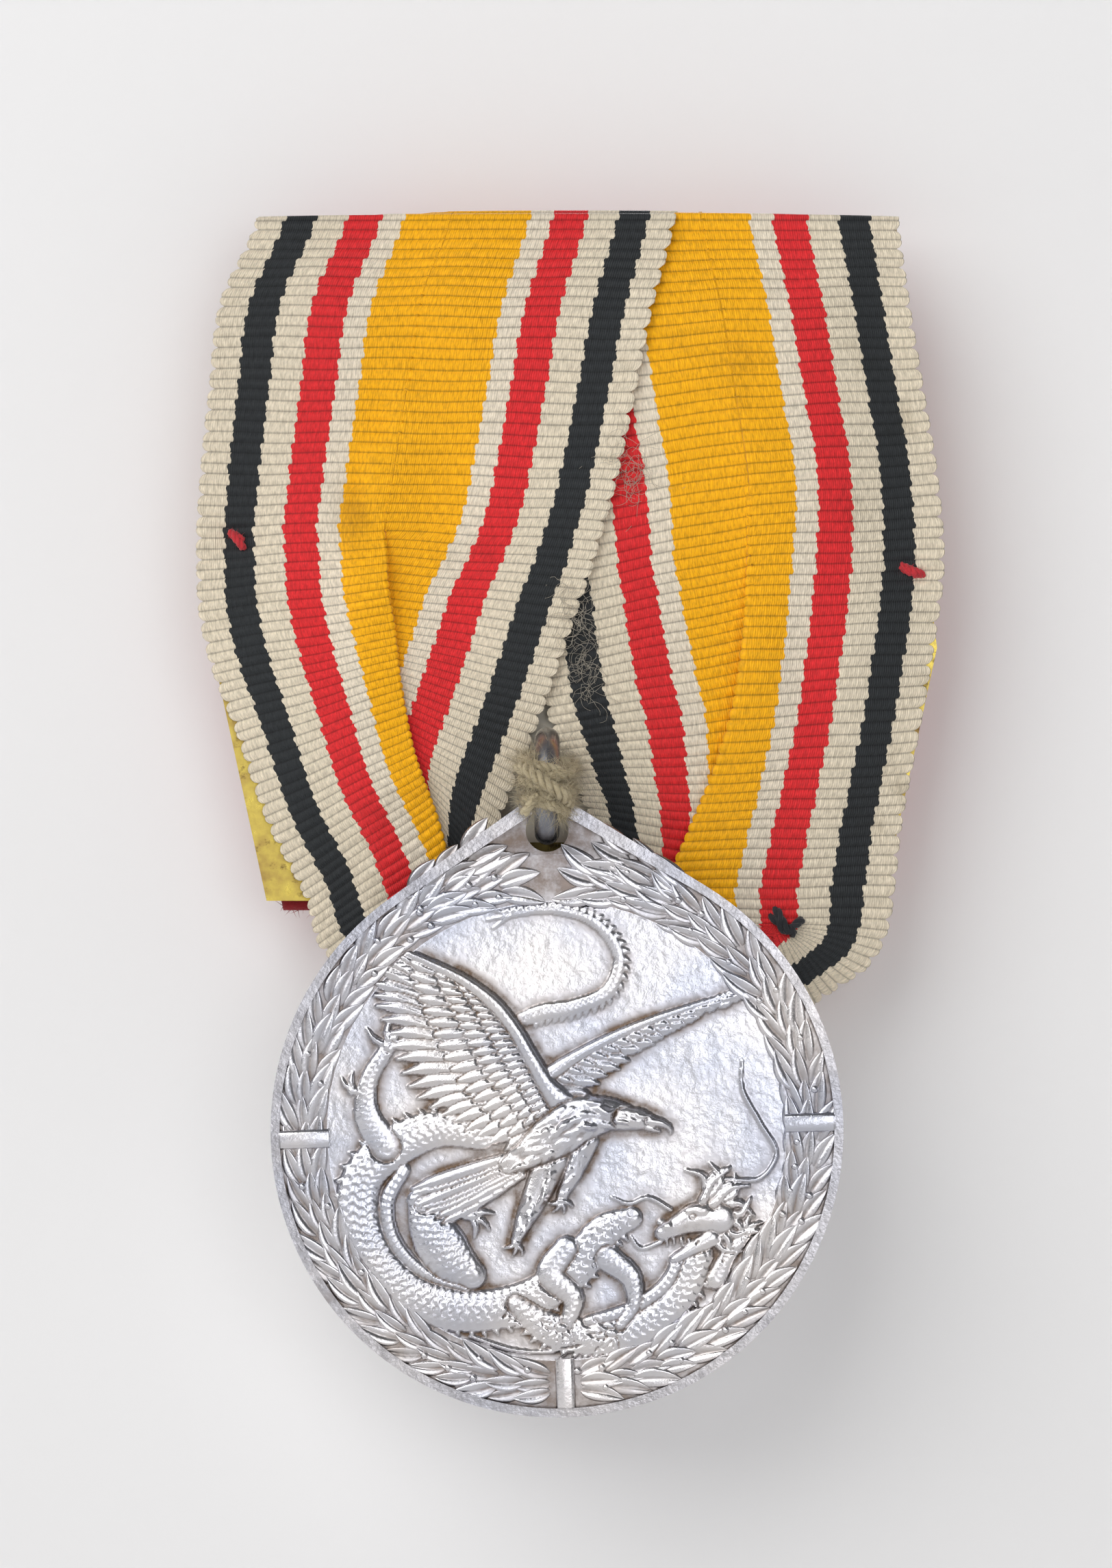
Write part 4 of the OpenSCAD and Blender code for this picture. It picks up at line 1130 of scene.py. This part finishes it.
def leaf_row(side, salt, size):
    """One leaf at every step: side counts from the middle, positive outside and negative inside."""
    apart = vector_calc(tree, "SCALE", outward, scale=calc(tree, "MULTIPLY", given["Apart"],
        float(side)))[0]
    moved = add_node(tree, "GeometryNodeSetPosition",
                     inputs={"Geometry": walk.outputs["Points"], "Offset": apart}).outputs[0]
    swing = calc(tree, "MULTIPLY", calc(tree, "MULTIPLY", given["Spread"], float(side)), turn_side)
    angle = calc(tree, "ADD", calc(tree, "ADD", heading, swing), random_value(-0.14, 0.14, salt))
    turned = add_node(tree, "ShaderNodeCombineXYZ", inputs={0: random_value(-0.12, 0.12, salt + 1),
                      1: calc(tree, "MULTIPLY", angle, -1.0),
                      2: random_value(-0.04, 0.04, salt + 2)}).outputs[0]
    scale = calc(tree, "MULTIPLY", random_value(0.85, 1.12, salt + 3), size)
    made = add_node(tree, "GeometryNodeInstanceOnPoints",
        inputs={"Points": moved, "Instance": leaf_info, "Rotation": turned,
        "Scale": scale}).outputs[0]
    tree.links.new(made, joined.inputs[0])


leaf_row(0, 10, 0.95)
leaf_row(1, 20, 1.0)
leaf_row(-1, 30, 1.0)
berry = add_node(tree, "GeometryNodeMeshIcoSphere",
                 inputs={"Radius": given["Berry radius"], "Subdivisions": 2}).outputs[0]
for side, salt in ((0.55, 40), (-0.75, 50)):
    some = add_node(tree, "FunctionNodeRandomValue", {"data_type": "BOOLEAN"},
                    {"Probability": 0.4, "Seed": salt}).outputs[3]
    moved = add_node(tree, "GeometryNodeSetPosition",
                     inputs={"Geometry": walk.outputs["Points"],
                     "Offset": vector_calc(tree, "SCALE", outward,
                     scale=calc(tree, "MULTIPLY", given["Apart"], side * 2))[0]}).outputs[0]
    tree.links.new(add_node(tree, "GeometryNodeInstanceOnPoints",
                   inputs={"Points": moved, "Instance": berry, "Selection": some}).outputs[0],
                   joined.inputs[0])
real = add_node(tree, "GeometryNodeRealizeInstances", inputs={0: joined.outputs[0]}).outputs[0]
finish = add_node(tree, "GeometryNodeSetMaterial", inputs={"Geometry": real,
    "Material": given["Steel"]}).outputs[0]
tree.links.new(add_node(tree, "GeometryNodeSetShadeSmooth", inputs={0: finish}).outputs[0],
               wanted["Geometry"])

# %% Grow the wreath
WREATH_R = 14.1


def line_mesh(name, lines, material):
    """A mesh of bare edges: one chain for each list of (x, y, z) points in millimetres."""
    points, edges = [], []
    for line in lines:
        edges += [(len(points) + i, len(points) + i + 1) for i in range(len(line) - 1)]
        points += [tuple(p) for p in line]
    mesh = bpy.data.meshes.new(name)
    mesh.from_pydata((np.array(points, float) * MM).tolist(), edges, [])
    mesh.materials.append(material)
    made = bpy.data.objects.new(name, mesh)
    bpy.context.collection.objects.link(made)
    return made


def band_line(points):
    return [(wx, BAND_Y, wz) for wx, wz in (on_medal(*p) for p in points)]


def arc_points(start, end, count=60):
    angles = np.radians(np.linspace(start, end, count))
    return list(zip(WREATH_R * np.cos(angles), WREATH_R * np.sin(angles)))


sprays = [arc_points(267, 102), arc_points(-87, 78), [(-7.6, 13.0), (-4.6, 14.9)],
          [(7.6, 13.0), (4.6, 14.9)]]
wreath = line_mesh("laurel_wreath", [band_line(spray) for spray in sprays], steel)
run_tree(wreath, tree, {"Leaf": leaf, "Pitch": 1.45 * MM, "Spread": 0.32, "Apart": 0.43 * MM,
                        "Berry radius": 0.24 * MM,
                        "Middle": (MEDAL_MIDDLE[0] * MM, BAND_Y * MM, MEDAL_MIDDLE[2] * MM),
                        "Steel": steel, "Seed": 4})
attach(wreath, "medal")

# %% [markdown]
# ### Ties
# Three plain bands cross the wreath at the bottom and at both sides, as ribbon ties do on the real
# thing.

# %% Add the ties
tie_points, tie_faces = [], []
for degrees in (180, 270, 360):
    angle = math.radians(degrees)
    across_way, along_way = np.array([math.cos(angle),
        math.sin(angle)]), np.array([-math.sin(angle), math.cos(angle)])
    rows_t, start = 9, len(tie_points)
    for r in np.linspace(12.75, 15.55, rows_t):
        for k, (side, rise) in enumerate(((-0.56, -0.05), (-0.5, 0.25), (-0.3, 0.33), (0.0, 0.3),
                (0.3, 0.33), (0.5, 0.25), (0.56, -0.05))):
            p = across_way * r + along_way * side
            wx, wz = on_medal(*p)
            tie_points.append((wx, BAND_Y - rise + 0.04 * ((r - 14.15) / 1.4) ** 2, wz))
    tie_faces += [[start + c for c in f] for f in grid_faces(rows_t, 7)]
ties = mesh_from("wreath_ties", tie_points, tie_faces, steel)
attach(ties, "medal")

# %% [markdown]
# ### Steel material
# Polished steel has a reflectance near 0.67 and its roughness varies: fine pits and hairlines break
# up the mirror, and grime fills the hollows. Two masks find the hollows: the relief's own hollow
# value, and the depth below the rim inside the wreath's ring. A metal keeps the default IOR, as its
# base colour already says how much it reflects.

# %% Finish the steel
spot = object_spot(steel_tree)
steel_hollow = add_node(steel_tree, "ShaderNodeAttribute",
                        {"attribute_name": "hollow"}).outputs["Fac"]
from_middle = vector_calc(steel_tree, "SUBTRACT", spot, tuple(MEDAL_MIDDLE * MM))[0]
parts = add_node(steel_tree, "ShaderNodeSeparateXYZ", inputs={0: from_middle}).outputs
ring_r = calc(steel_tree, "SQRT", calc(steel_tree, "ADD",
    calc(steel_tree, "MULTIPLY", parts["X"], parts["X"]),
    calc(steel_tree, "MULTIPLY", parts["Z"], parts["Z"])))
in_ring = calc(steel_tree, "GREATER_THAN", ring_r, 12.85 * MM)
depth_low, depth_high = (BAND_Y - MEDAL_MIDDLE[1]) * MM, (BAND_Y - 0.14 - MEDAL_MIDDLE[1]) * MM
sunk = ranged(steel_tree, parts["Y"], depth_high, depth_low, 0.0, 0.8)
front = calc(steel_tree, "LESS_THAN", parts["Y"], (FIELD_Y + 0.1 - MEDAL_MIDDLE[1]) * MM)
ring_hollow = calc(steel_tree, "MULTIPLY", calc(steel_tree, "MULTIPLY", in_ring, sunk), front)
grime_noise = noise(steel_tree, spot, 700.0, 6.0, 0.7)
blotch = noise(steel_tree, spot, 190.0, 5.0, 0.65)
any_hollow = calc(steel_tree, "MAXIMUM", steel_hollow, ring_hollow)
grime = calc(steel_tree, "MULTIPLY", any_hollow, ranged(steel_tree, grime_noise, 0.3, 0.62, 0.25,
    1.0), clamp=True)
stain = ranged(steel_tree, blotch, 0.62, 0.72, 0.0, 0.4)
all_grime = calc(steel_tree, "MAXIMUM", grime, stain)
shade = ranged(steel_tree, noise(steel_tree, spot, 120.0, 4.0), 0.38, 0.62, 0.0, 1.0)
bright = mixed(steel_tree, shade, linear("#e9e4e2"), linear("#c8cad4"))
on_rim = calc(steel_tree, "MULTIPLY", calc(steel_tree, "GREATER_THAN", ring_r, 15.45 * MM), ranged(
    steel_tree, grime_noise, 0.35, 0.6, 0.35, 0.7))
bright = mixed(steel_tree, on_rim, bright, linear("#8f8d90"))
dirt_colour = mixed(steel_tree, grime_noise, linear("#3b332f"), linear("#8a735f"))
rough = ranged(steel_tree, noise(steel_tree, spot, 420.0, 6.0, 0.7), 0.3, 0.7, 0.17, 0.3)
steel_pits = calc(steel_tree, "ADD", noise(steel_tree, spot, 4600.0, 2.0),
    calc(steel_tree, "MULTIPLY", noise(
    steel_tree, spot, 1900.0, 3.0), 1.3))
feed(steel_tree, steel_shader, {
    "Base Color": mixed(steel_tree, all_grime, bright, dirt_colour), "Metallic": 1.0,
    "Roughness": calc(steel_tree, "MULTIPLY_ADD", all_grime, 0.3, rough),
    "Normal": bump(steel_tree, steel_pits, 0.6, 0.00002)})


def dress(node, material):
    """Give every material slot of a CAD node this material."""
    for material_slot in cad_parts[node].material_slots:
        material_slot.material = material


dress("medal", steel)

# %% [markdown]
# ## The plate, the wadding and the felt
# The brass plate keeps its CAD shape and gets an aged finish: bright edges, brown and violet
# tarnish, and painted shade, a dark brown over the middle where the ribbon and the medal cover it.
# The wadding is a soft pad under the ribbon and the felt a thin sheet behind the plate; both are
# soft, so they are made here. Nobody sees the wadding's front, so it is a plain low dome and not a
# cloth simulation.

# %% Finish the metal fittings
def aged_metal(name, clean, stained, spots, roughness, stain_amount=0.5, spot_amount=0.3,
               shade_half=0):
    """Metal with broad tarnish, small dark spots, and painted shade: a dark brown closer to x = 0
    than the given half width in mm.
    """
    material, tree, shader = new_material(name)
    spot = object_spot(tree)
    broad = noise(tree, spot, 260.0, 5.0, 0.6)
    fine = noise(tree, spot, 1100.0, 5.0, 0.7)
    stain = ranged(tree, broad, 0.62 - 0.3 * stain_amount, 0.8 - 0.25 * stain_amount, 0.0, 1.0)
    colour = mixed(tree, stain, linear(clean), linear(stained))
    dark = ranged(tree, fine, 0.64 - 0.1 * spot_amount, 0.7, 0.0, 0.9)
    colour = mixed(tree, dark, colour, linear(spots))
    # Painted shade: near x = 0, where the ribbon and the medal cover the plate, the colour is
    # darkened to a dark brown.
    if shade_half:
        sideways = add_node(tree, "ShaderNodeSeparateXYZ", inputs={0: spot}).outputs["X"]
        centre_painted_shade = ranged(tree, calc(tree, "ABSOLUTE", sideways), shade_half * MM,
                       (shade_half - 2) * MM, 0.0, 0.85)
        colour = mixed(tree, centre_painted_shade, colour, linear("#241d18"))
    rough = calc(tree, "MULTIPLY_ADD", stain, 0.22, roughness)
    rough = calc(tree, "ADD", rough, calc(tree, "MULTIPLY", dark, 0.25), clamp=True)
    feed(tree, shader, {"Base Color": colour, "Metallic": 1.0, "Roughness": rough,
                        "Normal": bump(tree, fine, 0.35, 0.00004)})
    return material


brass = aged_metal("tarnished_sheet_brass", "#cdb75a", "#8f6f4a", "#4d3030", 0.26, 0.62, 0.7,
                   shade_half=12)
pin_steel = aged_metal("dull_nickelled_pin_steel", "#c9c7c1", "#958f85", "#57483a", 0.3, 0.4, 0.4)
ring_steel = aged_metal("dark_oily_ring_wire", "#9fa1a6", "#73747a", "#413e40", 0.27, 0.6, 0.5)
dress("backing_plate", brass)
for node in ("pin_hinge_bracket", "pin_catch", "hinge_rivet", "brooch_pin"):
    dress(node, pin_steel)
dress("suspension_ring", ring_steel)

# %% Make the wadding
cotton, cotton_tree, cotton_shader = new_material("cotton_wadding_matte")
cotton_spot = object_spot(cotton_tree)
cotton_tree.links.new(mixed(cotton_tree, noise(cotton_tree, cotton_spot, 900.0, 5.0),
                      linear("#b9b2a2"), linear("#dcd7ca")),
                      cotton_shader.inputs["Base Color"])
feed(cotton_tree, cotton_shader, {"Roughness": 0.95})


def trapezoid(low_z, high_z, inset, rows, columns):
    """x and z of a grid that fills the plate's outline, drawn in by an inset at the sides."""
    z = np.linspace(low_z, high_z, rows)[:, None] + 0 * np.linspace(0, 1, columns)[None, :]
    return np.linspace(-1, 1, columns)[None, :] * (plate_half_width(z) - inset), z


PAD_INSET, PAD_EDGE, PAD_ROWS, PAD_COLUMNS = 3.4, 0.3, 34, 40
pad_x, pad_z = trapezoid(wadding_low[2] + PAD_EDGE, wadding_high[2] - PAD_EDGE, PAD_INSET, PAD_ROWS,
                         PAD_COLUMNS)
side_gap = plate_half_width(pad_z) - PAD_INSET - np.abs(pad_x)
edge_gap = np.minimum(side_gap, np.minimum(pad_z - wadding_low[2] - PAD_EDGE,
    wadding_high[2] - PAD_EDGE - pad_z))
pad_rise = 0.1 + 0.85 * smoothstep(0, 5.0, edge_gap) + 0.05 * rng.uniform(-1, 1,
    pad_x.shape) * smoothstep(0, 2, edge_gap)
pad_points = np.stack([pad_x, PLATE_FRONT - pad_rise, pad_z], -1).reshape(-1, 3)
back_points = pad_points.copy()
back_points[:, 1] = PLATE_FRONT - 0.02
pad_quads = grid_faces(PAD_ROWS, PAD_COLUMNS)
numbers = np.arange(PAD_ROWS * PAD_COLUMNS).reshape(PAD_ROWS, PAD_COLUMNS)
border = np.concatenate([numbers[0], numbers[1:, -1], numbers[-1, -2::-1],
                         numbers[-2:0:-1, 0]]).tolist()
count = len(pad_points)
pad_faces = pad_quads + [[c + count for c in f[::-1]] for f in pad_quads]
pad_faces += [[b, a, a + count, b + count] for a, b in zip(border, border[1:] + border[:1])]
wadding = mesh_from("wadding_dome", np.concatenate([pad_points, back_points]), pad_faces, cotton)
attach(wadding, "mount")
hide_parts("wadding_pad")

# %% Make the felt
felt_red, felt_tree, felt_shader = new_material("red_wool_felt")
felt_spot = object_spot(felt_tree)
felt_tree.links.new(mixed(felt_tree, noise(felt_tree, felt_spot, 1600.0, 6.0, 0.7),
                    linear("#7d1019"), linear("#b5212b")),
                    felt_shader.inputs["Base Color"])
feed(felt_tree, felt_shader, {"Roughness": 0.92, "Sheen Weight": 0.35})
feed(felt_tree, felt_shader, {"Normal": bump(felt_tree,
    noise(felt_tree, felt_spot, 2400.0, 6.0, 0.75), 0.8, 0.00015)})
FELT_INSET = 0.8
FELT_ROWS, FELT_COLUMNS = 90, 100
felt_x, felt_z = trapezoid(felt_low[2], felt_high[2], FELT_INSET, FELT_ROWS, FELT_COLUMNS)
uneven = 0.06 * np.sin(1.1 * felt_x + 0.6 * felt_z) + rng.uniform(-0.05, 0.05, felt_x.shape)
felt = mesh_from("felt_sheet", np.stack([felt_x, felt_low[1] + 0.05 + 0.04 * uneven, felt_z],
                 -1).reshape(-1, 3),
                 grid_faces(FELT_ROWS, FELT_COLUMNS), felt_red)
felt_thick = felt.modifiers.new("thickness", "SOLIDIFY")
felt_thick.thickness = 0.9 * (felt_high[1] - felt_low[1]) * MM
felt_thick.offset = -1

# %% [markdown]
# ### One tree for fibres and yarns
# Fibres, threads and yarns are all drawn by one small tree: every chain of edges becomes a tube,
# and short loose hairs are scattered on it. A yarn is made of several plies, each a helix round the
# yarn's own path, so its chains are worked out first.

# %% Build the yarn tree
tree, given, wanted = new_tree("yarn_with_hairs", [
    ("Ply radius", "Float"), ("Hairs per square mm", "Float"), ("Hair length", "Float"),
    ("Hair radius", "Float"), ("Yarn", "Material"), ("Seed", "Int"), ("Tubes", "Bool")])
chain = add_node(tree, "GeometryNodeMeshToCurve", inputs={0: given["Geometry"]}).outputs[0]
profile = add_node(tree, "GeometryNodeCurvePrimitiveCircle",
                   inputs={"Resolution": 6, "Radius": given["Ply radius"]}).outputs[0]
tube = add_node(tree, "GeometryNodeCurveToMesh", inputs={"Curve": chain, "Profile Curve": profile,
    "Fill Caps": True}).outputs[0]
body_part = add_node(tree, "GeometryNodeSwitch", {"input_type": "GEOMETRY"},
    {"Switch": given["Tubes"], "False": given["Geometry"],
    "True": tube}).outputs[0]
density = calc(tree, "MULTIPLY", given["Hairs per square mm"], 1.0 / MM**2)
scatter = add_node(tree, "GeometryNodeDistributePointsOnFaces",
                   inputs={"Mesh": body_part, "Density": density, "Seed": given["Seed"]})
hair = add_node(tree, "GeometryNodeMeshCone", inputs={"Vertices": 3, "Radius Top": 0.0,
    "Radius Bottom": given["Hair radius"],
    "Depth": given["Hair length"]}).outputs["Mesh"]
lean = add_node(tree, "FunctionNodeRandomValue", {"data_type": "FLOAT_VECTOR"},
    {0: (-1.3, -1.3, -3.1), 1: (1.3, 1.3, 3.1),
    "Seed": given["Seed"]}).outputs[0]
tilt = add_node(tree, "FunctionNodeRotateRotation", {"rotation_space": "LOCAL"},
                {0: scatter.outputs["Rotation"], 1: lean}).outputs[0]
long_or_short = add_node(tree, "FunctionNodeRandomValue", {"data_type": "FLOAT"},
                         {2: 0.4, 3: 1.5, "Seed": 8}).outputs[1]
hairs = add_node(tree, "GeometryNodeInstanceOnPoints",
    inputs={"Points": scatter.outputs["Points"], "Instance": hair, "Rotation": tilt,
    "Scale": long_or_short}).outputs[0]
both = add_node(tree, "GeometryNodeJoinGeometry")
for part in (body_part, hairs):
    tree.links.new(part, both.inputs[0])
solid = add_node(tree, "GeometryNodeRealizeInstances", inputs={0: both.outputs[0]}).outputs[0]
smooth_part = add_node(tree, "GeometryNodeSetShadeSmooth", inputs={0: solid}).outputs[0]
tree.links.new(add_node(tree, "GeometryNodeSetMaterial",
               inputs={"Geometry": smooth_part, "Material": given["Yarn"]}).outputs[0],
               wanted["Geometry"])
yarn_tree = tree


def plied(path, plies, radius, twist, gap=0.12):
    """The plies of a yarn along a path of (x, y, z) points: a helix of this radius for each ply."""
    path = np.array(path, float)
    at = np.concatenate([[0], np.cumsum(np.linalg.norm(np.diff(path, axis=0), axis=1))])
    s = np.linspace(0, at[-1], max(6, int(at[-1] / gap)))
    middle = through_stations(np.column_stack([at, path]), s)
    ahead = np.gradient(middle, axis=0)
    ahead /= np.linalg.norm(ahead, axis=1)[:, None]
    side = np.cross(ahead, [0.31, 0.2, 0.93])
    side /= np.linalg.norm(side, axis=1)[:, None]
    up = np.cross(ahead, side)
    lines = []
    for ply in range(plies):
        turn = 2 * np.pi * (s / twist + ply / plies)
        lines.append(middle + radius * (np.cos(turn)[:, None] * side + np.sin(turn)[:, None] * up))
    return lines


def yarn_piece(name, lines, material, body, node, ply_radius, hairs=0.0, hair=0.4, seed=1):
    piece = line_mesh(name, lines, material)
    run_tree(piece, yarn_tree, {"Ply radius": ply_radius * MM, "Hairs per square mm": hairs,
                                "Hair length": hair * MM,
                                "Hair radius": 0.012 * MM, "Yarn": material, "Seed": seed,
                                "Tubes": True})
    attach(piece, body)
    if node:
        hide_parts(node)
    return piece


# %% Raise the felt's nap
run_tree(felt, yarn_tree, {"Ply radius": 0.1 * MM, "Hairs per square mm": 3.4,
                           "Hair length": 0.55 * MM, "Hair radius": 0.02 * MM,
                           "Yarn": felt_red, "Seed": 3, "Tubes": False})
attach(felt, "mount")
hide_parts("felt_backing")

# %% [markdown]
# ## Threads and yarn
# A linen yarn passes through the ring and back to the plate, and a lump of it is knotted round the
# front of the ring. Red threads catch the ribbon at both sides, a black one gathers the lower right
# corner, and a ring of red stitches holds the felt. Each thread comes up out of the cloth, runs
# over it and goes back in.

# %% Make the thread materials
def fibre_material(name, dark, light, scale=1800.0):
    """Dull twisted fibre in two shades."""
    material, tree, shader = new_material(name)
    spot = object_spot(tree)
    colour = mixed(tree, noise(tree, spot, scale, 4.0), linear(dark), linear(light))
    feed(tree, shader, {"Base Color": colour, "Roughness": 0.85, "Sheen Weight": 0.2})
    return material


linen = fibre_material("undyed_linen_yarn", "#a39370", "#d9cdae")
red_thread = fibre_material("red_cotton_thread", "#a3161f", "#e03a42")
black_thread = fibre_material("black_waxed_thread", "#101113", "#33353a")
fluff_fibre = fibre_material("loose_cotton_fibre", "#857c6d", "#c9c1b1")


def cloth_front(x, z, reach=0.6):
    """How far forward the ribbon's front lies near x, z."""
    near = (np.abs(sheet_points[..., 0] - x) < reach) & (np.abs(sheet_points[..., 2] - z) < reach)
    return float(sheet_points[..., 1][near].min()) if near.any() else PLATE_FRONT


def stitch_path(start, end, rise, depth=0.5, sag=0.0):
    """A stitch on the ribbon from start to end (x, z): up through the cloth, over it and down."""
    (x0, z0), (x1, z1) = start, end
    y = min(cloth_front(*start, 0.35), cloth_front(*end, 0.35)) - 0.05
    middle = ((x0 + x1) / 2, (z0 + z1) / 2 + sag)
    return [(x0, y + depth, z0), (x0, y - 0.3 * rise, z0),
            ((x0 + middle[0]) / 2, y - 0.9 * rise, (z0 + middle[1]) / 2),
            (middle[0], y - rise, middle[1]), ((x1 + middle[0]) / 2, y - 0.9 * rise,
            (z1 + middle[1]) / 2), (x1, y - 0.3 * rise, z1),
            (x1, y + depth, z1)]


# %% Sew the ribbon
left_lines = plied(stitch_path((-19.35, -6.75), (-18.75, -7.5), 0.34), 3, 0.12, 0.9)
left_lines += plied(stitch_path((-19.1, -6.85), (-18.8, -7.1), 0.4), 2, 0.1, 0.8)
yarn_piece("left_red_stitch", left_lines, red_thread, "mount", "left_stitch", 0.13,
           9.0, 0.3, 2)
right_lines = plied(stitch_path((18.35, -8.55), (19.6, -9.05), 0.32), 3, 0.13, 0.9)
right_lines += plied(stitch_path((18.6, -8.8), (19.3, -9.1), 0.3), 2, 0.1, 0.8)
yarn_piece("right_red_stitch", right_lines, red_thread, "mount", "right_stitch", 0.14,
           6.0, 0.3, 5)
corner_lines = plied(stitch_path((11.15, -28.35), (12.75, -28.6), 0.42, sag=-0.75), 2, 0.12, 1.2)
corner_lines += plied(stitch_path((11.4, -28.0), (12.3, -29.3), 0.36, sag=-0.2), 2, 0.11, 1.1)
yarn_piece("corner_black_stitch", corner_lines, black_thread, "mount", "corner_stitch",
           0.15, 3.0, 0.3, 3)

# %% Sew the felt
felt_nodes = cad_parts["felt_stitches"].data
islands = bmesh.new()
islands.from_mesh(felt_nodes)
unseen, felt_lines = dict.fromkeys(islands.verts), []
while unseen:
    front_line, island = [unseen.popitem()[0]], []
    while front_line:
        vertex = front_line.pop()
        island.append(np.array(vertex.co) / MM)
        for edge in vertex.link_edges:
            other = edge.other_vert(vertex)
            if other in unseen:
                del unseen[other]
                front_line.append(other)
    island = np.array(island)
    low, high = island.min(0), island.max(0)
    longest = 0 if high[0] - low[0] > high[2] - low[2] else 2
    middle = (low + high) / 2
    a, b = middle.copy(), middle.copy()
    a[longest], b[longest] = low[longest] + 0.25, high[longest] - 0.25
    back_y = felt_high[1]
    felt_lines += plied([(a[0], back_y - 0.4, a[2]), (a[0], back_y + 0.1, a[2]),
                         ((a[0] + b[0]) / 2, back_y + 0.24, (a[2] + b[2]) / 2),
                         (b[0], back_y + 0.1, b[2]), (b[0], back_y - 0.4, b[2])], 3, 0.11, 0.9)
islands.free()
print("felt stitches", len(felt_lines) // 3)
yarn_piece("felt_edge_stitches", felt_lines, red_thread, "mount", "felt_stitches",
           0.12, 4.0, 0.3, 7)

# %% Tie the ring
hx, hy, hz = RING_MIDDLE[0], RING_MIDDLE[1], RING_MIDDLE[2] + RING_R - WIRE_R - 0.5
binding = []
for dx, dz in ((0.0, 0.0), (0.1, -0.16), (-0.08, -0.3)):
    half_loop = [(1.35, PLATE_FRONT + 0.1, 0.3), (1.4, -5.6, 0.25), (1.35, -7.6, 0.12),
                 (0.95, hy + 0.15, 0.0)]
    left_half = [(hx - x_off + dx, y_at, hz + z_off + dz) for x_off, y_at, z_off in half_loop]
    right_half = [(hx + x_off + dx, y_at, hz - z_off + dz) for x_off, y_at,
                  z_off in half_loop[::-1]]
    binding += plied(left_half + [(hx + dx, hy, hz + dz * 0.5)] + right_half, 3, 0.13, 1.4)
yarn_piece("binding_linen_yarn", binding, linen, "mount", "binding_yarn", 0.14, 12.0,
           0.9, 4)

knot_low, knot_high = corners_mm("yarn_knot")
knot_middle = (knot_low + knot_high) / 2
knot_lines = []
for k in range(5):
    height = 1.0 - 0.5 * k
    turn = np.radians(np.linspace(-200, 200, 22))
    slope = 0.9 if k % 2 == 0 else -0.6
    r = 1.12 + 0.22 * math.cos(0.9 * (k - 1.6))
    knot_lines += plied([(hx + r * math.sin(a), knot_middle[1] - 0.92 * r * math.cos(a),
                         knot_middle[2] + height - slope * a / 3.5)
                         for a in turn], 3, 0.17, 1.3)
cross = [(hx - 1.55, knot_middle[1] - 0.2, knot_middle[2] + 1.05),
         (hx - 0.9, knot_middle[1] - 1.25, knot_middle[2] + 0.75),
         (hx, knot_middle[1] - 1.55, knot_middle[2] + 0.1),
         (hx + 0.9, knot_middle[1] - 1.2, knot_middle[2] - 0.5),
         (hx + 1.25, knot_middle[1] - 0.2, knot_middle[2] - 0.95)]
tail_end = [(hx - 0.6, knot_middle[1] - 1.2, knot_middle[2] - 0.5),
            (hx - 1.0, knot_middle[1] - 1.4, knot_middle[2] - 1.1),
            (hx - 1.3, knot_middle[1] - 1.2, knot_middle[2] - 1.55)]
knot_lines += plied(cross, 3, 0.22, 1.5) + plied(tail_end, 2, 0.12, 1.1)
yarn_piece("knotted_linen_yarn", knot_lines, linen, "ring", "yarn_knot", 0.18, 26.0,
           1.1, 9)

# %% [markdown]
# ### Loose cotton
# Where the left panel's selvedge crosses the right panel, thin curls of wadding stick out.

# %% Pull out some fluff
fluff_lines = []
for start, end, strands in (((2.6, -1.2), (3.6, -5.0), 46), ((-0.2, -9.6), (0.9, -16.6), 90),
                            ((-2.2, -18.2), (-0.6, -19.6), 26)):
    for _ in range(strands):
        f = rng.uniform(0, 1)
        px, pz = start[0] + (end[0] - start[0]) * f + rng.normal(0,
            0.25), start[1] + (end[1] - start[1]) * f
        y = cloth_front(px, pz, 0.5) - 0.12
        heading, curl, line = rng.uniform(0, 2 * math.pi), rng.uniform(-1.1, 1.1), []
        for step in range(int(rng.uniform(7, 16))):
            line.append((px, y - 0.1 * math.sin(step * 0.45) - 0.05, pz))
            heading += curl * 0.45 + rng.normal(0, 0.25)
            px, pz = px + 0.2 * math.cos(heading), pz + 0.2 * math.sin(heading)
        fluff_lines.append(line)
yarn_piece("loose_cotton_fluff", fluff_lines, fluff_fibre, "mount", None, 0.009,
           0.0, 0.1, 2)
